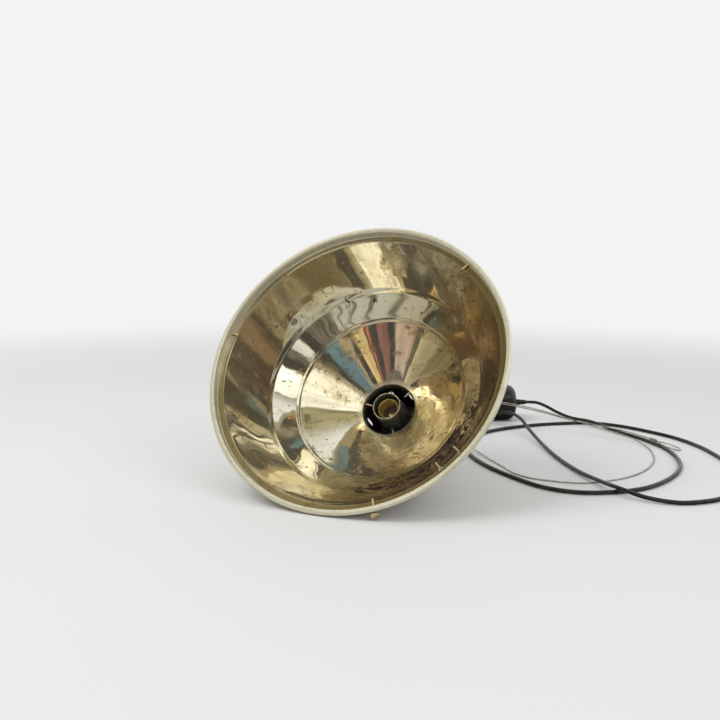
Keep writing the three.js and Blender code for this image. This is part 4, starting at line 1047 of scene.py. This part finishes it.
# The table that the polish mirrors: its slats, its near edge, and the ground before it
SLATS_PER_METRE = 8.5
SLAT, SLAT_GAP = (0.55, 0.54, 0.48), (0.13, 0.115, 0.075)
TABLE_EDGE = (-0.66, -0.69)
GROUND_DARK, GROUND_PALE = (0.045, 0.036, 0.025), (0.22, 0.19, 0.12)


def make_floor():
    """A plain pale floor. In the polish it shows as a slatted table that ends before the lamp."""
    bpy.ops.mesh.primitive_plane_add(size=FLOOR_SIZE, location=(0, 0, FLOOR_HEIGHT))
    floor = bpy.context.object
    floor.name = "floor"
    g = Finish("pale_floor", (0.88, 0.88, 0.875), 0.0, 0.7)
    x, y, _ = g.parts(g.coords)
    plain = g.mix(g.noise(3, 3, 0.5), FLOOR_PALE, FLOOR_GREY)
    away = g.along(g.coords, (-math.sin(CAMERA_TURN), math.cos(CAMERA_TURN), 0))
    gap = g.ramp(g.off(g.calc("FRACT", g.times(away, SLATS_PER_METRE)), 0.5), 0.34, 0.42)
    slats = g.mix(gap, SLAT, SLAT_GAP)
    ground = g.mix(g.ramp(g.noise(4.5, 4, 0.6), 0.45, 0.56), GROUND_DARK, GROUND_PALE)
    edge = g.ramp(g.plus(away, g.times(g.noise(5), 0.04)), *TABLE_EDGE)
    g.set("Base Color", g.mix(g.ray("Is Glossy Ray"), plain, g.mix(edge, slats, ground)))
    distance = g.length(x, y)
    far = g.times(g.ramp(distance, BACKDROP_FROM, BACKDROP_FULL), g.ray("Is Camera Ray"))
    glow = g.tree.nodes.new("ShaderNodeEmission")
    glow.inputs["Color"].default_value = (*BACKDROP, 1)
    mixer = g.tree.nodes.new("ShaderNodeMixShader")
    g.feed(mixer.inputs[0], far)
    g.feed(mixer.inputs[1], g.shader.outputs[0])
    g.feed(mixer.inputs[2], glow.outputs[0])
    g.feed(g.tree.nodes["Material Output"].inputs["Surface"], mixer.outputs[0])
    give(floor, g.material)


# What stands round the lamp, as the polish mirrors it: azimuth from the front towards +X and
# elevation of its middle, half its width and height, all in degrees, and its colour. The later
# ones hang before the earlier ones
ROOM = (
    (-60, 8, 10, 7, (0.32, 0.26, 0.14)),
    (-48, 6, 8, 9, (0.50, 0.43, 0.27)),
    (-28, 2, 8, 8, (0.56, 0.43, 0.34)),
    (-11, 3, 4, 7, (0.26, 0.12, 0.10)),
    (9, 17, 9, 7, (0.42, 0.33, 0.18)),
    (6, 7, 4, 8, (0.72, 0.54, 0.25)),
    (0, 5, 1, 9, (0.50, 0.15, 0.09)),
    (30, 6, 7, 7, (0.07, 0.06, 0.045)),
    (43, -1, 2, 6, (0.36, 0.16, 0.10)),
    (24, 17, 6, 5, (0.15, 0.24, 0.28)),
    (56, 9, 3, 4, (0.80, 0.78, 0.74)),
    (14, 37, 8, 8, (0.34, 0.28, 0.15)),
    (97, 73, 26, 9, (0.38, 0.34, 0.19)),
    (38, 66, 9, 4, (0.08, 0.07, 0.04)),
    (-33, 44, 10, 8, (0.36, 0.31, 0.17)),
    (-12, 38, 11, 10, (1.10, 1.02, 0.74)),
    (-6, 24.5, 14, 4, (3.2, 3.1, 2.7)),
    (47, 43, 12, 13, (1.3, 1.27, 1.14)),
    (77, 30, 8, 9, (1.4, 1.38, 1.25)),
)


# Each thing of the room fades from this share of its half width and height
SOFT_FROM = 0.92
# The walls and the ceiling, where the ceiling begins, and where the backdrop takes over
CLUTTER_WARM, CLUTTER_PALE = (1.0, 0.86, 0.56), (0.92, 0.9, 0.78)
CEILING_DARK, CEILING_PALE = (0.28, 0.25, 0.15), (0.58, 0.55, 0.40)
CEILING_FROM = (0.6, 0.75)
BACKDROP_BEHIND = (-0.15, 0.1)
# The light that everything but the polish gets from all round
PLAIN_LIGHT = (0.62, 0.62, 0.62)


def hang(g, seen, azimuth, elevation, wide, tall, colour):
    """Put one thing of the room over what is seen so far."""
    azimuth, elevation = math.radians(azimuth), math.radians(elevation)
    c, s = math.cos(azimuth), math.sin(azimuth)
    ce, se = math.cos(elevation), math.sin(elevation)
    ahead = g.along(g.coords, (s * ce, -c * ce, se))
    across = g.calc("DIVIDE", g.along(g.coords, (c, s, 0)), ahead)
    up = g.calc("DIVIDE", g.along(g.coords, (-s * se, c * se, ce)), ahead)
    w, h = math.tan(math.radians(wide)), math.tan(math.radians(tall))
    share = g.times(g.ramp(g.off(across, 0.0), w, w * SOFT_FROM),
                    g.ramp(g.off(up, 0.0), h, h * SOFT_FROM),
                    g.ramp(ahead, 0.0, 0.1))
    return g.mix(share, seen, colour)


def mirrored_room(g):
    """Cluttered walls below a beamed ceiling, with the things of the room before them."""
    _, y, z = g.parts(g.coords)
    walls = g.parts(g.cells(4.2, g.stretched(1, 1, 0.55), "Color", square=True))
    shade = g.ramp(walls[0], 0.3, 1.0, 0.05, 0.74)
    clutter = g.mix(shade, (0.0, 0.0, 0.0), g.mix(walls[1], CLUTTER_WARM, CLUTTER_PALE))
    beams = g.ramp(g.noise(2.4, 2, 0.5, g.stretched(1, 2.5, 1)), 0.46, 0.54)
    ceiling = g.mix(beams, CEILING_DARK, CEILING_PALE)
    seen = g.mix(g.ramp(z, *CEILING_FROM), clutter, ceiling)
    for thing in ROOM:
        seen = hang(g, seen, *thing)
    wipe = g.ramp(g.noise(9, 6, 0.65, g.stretched(1, 1, 0.4), twist=0.4), 0.3, 0.7, 0.7, 1.25)
    return g.mix(g.ramp(y, *BACKDROP_BEHIND), g.scaled(seen, wipe), BACKDROP)


def make_world():
    """White behind the lamp and plain pale light on it. The polish alone mirrors a dim room."""
    world = bpy.data.worlds.new("room")
    bpy.context.scene.world = world
    world.use_nodes = True
    g = Graph(world.node_tree, "Generated")
    colour = g.mix(g.ray("Is Glossy Ray"), PLAIN_LIGHT, mirrored_room(g))
    colour = g.mix(g.ray("Is Camera Ray"), colour, BACKDROP)
    background = g.tree.nodes["Background"]
    g.feed(background.inputs["Color"], colour)
    background.inputs["Strength"].default_value = 1.0


# Both lights point here
LIT_POINT = Vector((0, 0, 0.1))


def area_light(name, at, side, power):
    """A square soft light aimed at the lamp, that the polish doesn't mirror."""
    data = bpy.data.lights.new(name, "AREA")
    data.shape = "RECTANGLE"
    data.size = data.size_y = side
    data.energy = power
    light = bpy.data.objects.new(name, data)
    light.location = at
    light.rotation_euler = (LIT_POINT - Vector(at)).to_track_quat("-Z", "Y").to_euler()
    light.visible_glossy = False
    bpy.context.scene.collection.objects.link(light)


make_floor()
make_world()
area_light("key", at=(-1.2, -1.3, 2.3), side=1.4, power=26)
area_light("fill", at=(2.0, -0.9, 1.6), side=1.6, power=9)

bpy.context.scene.view_settings.view_transform = "Standard"
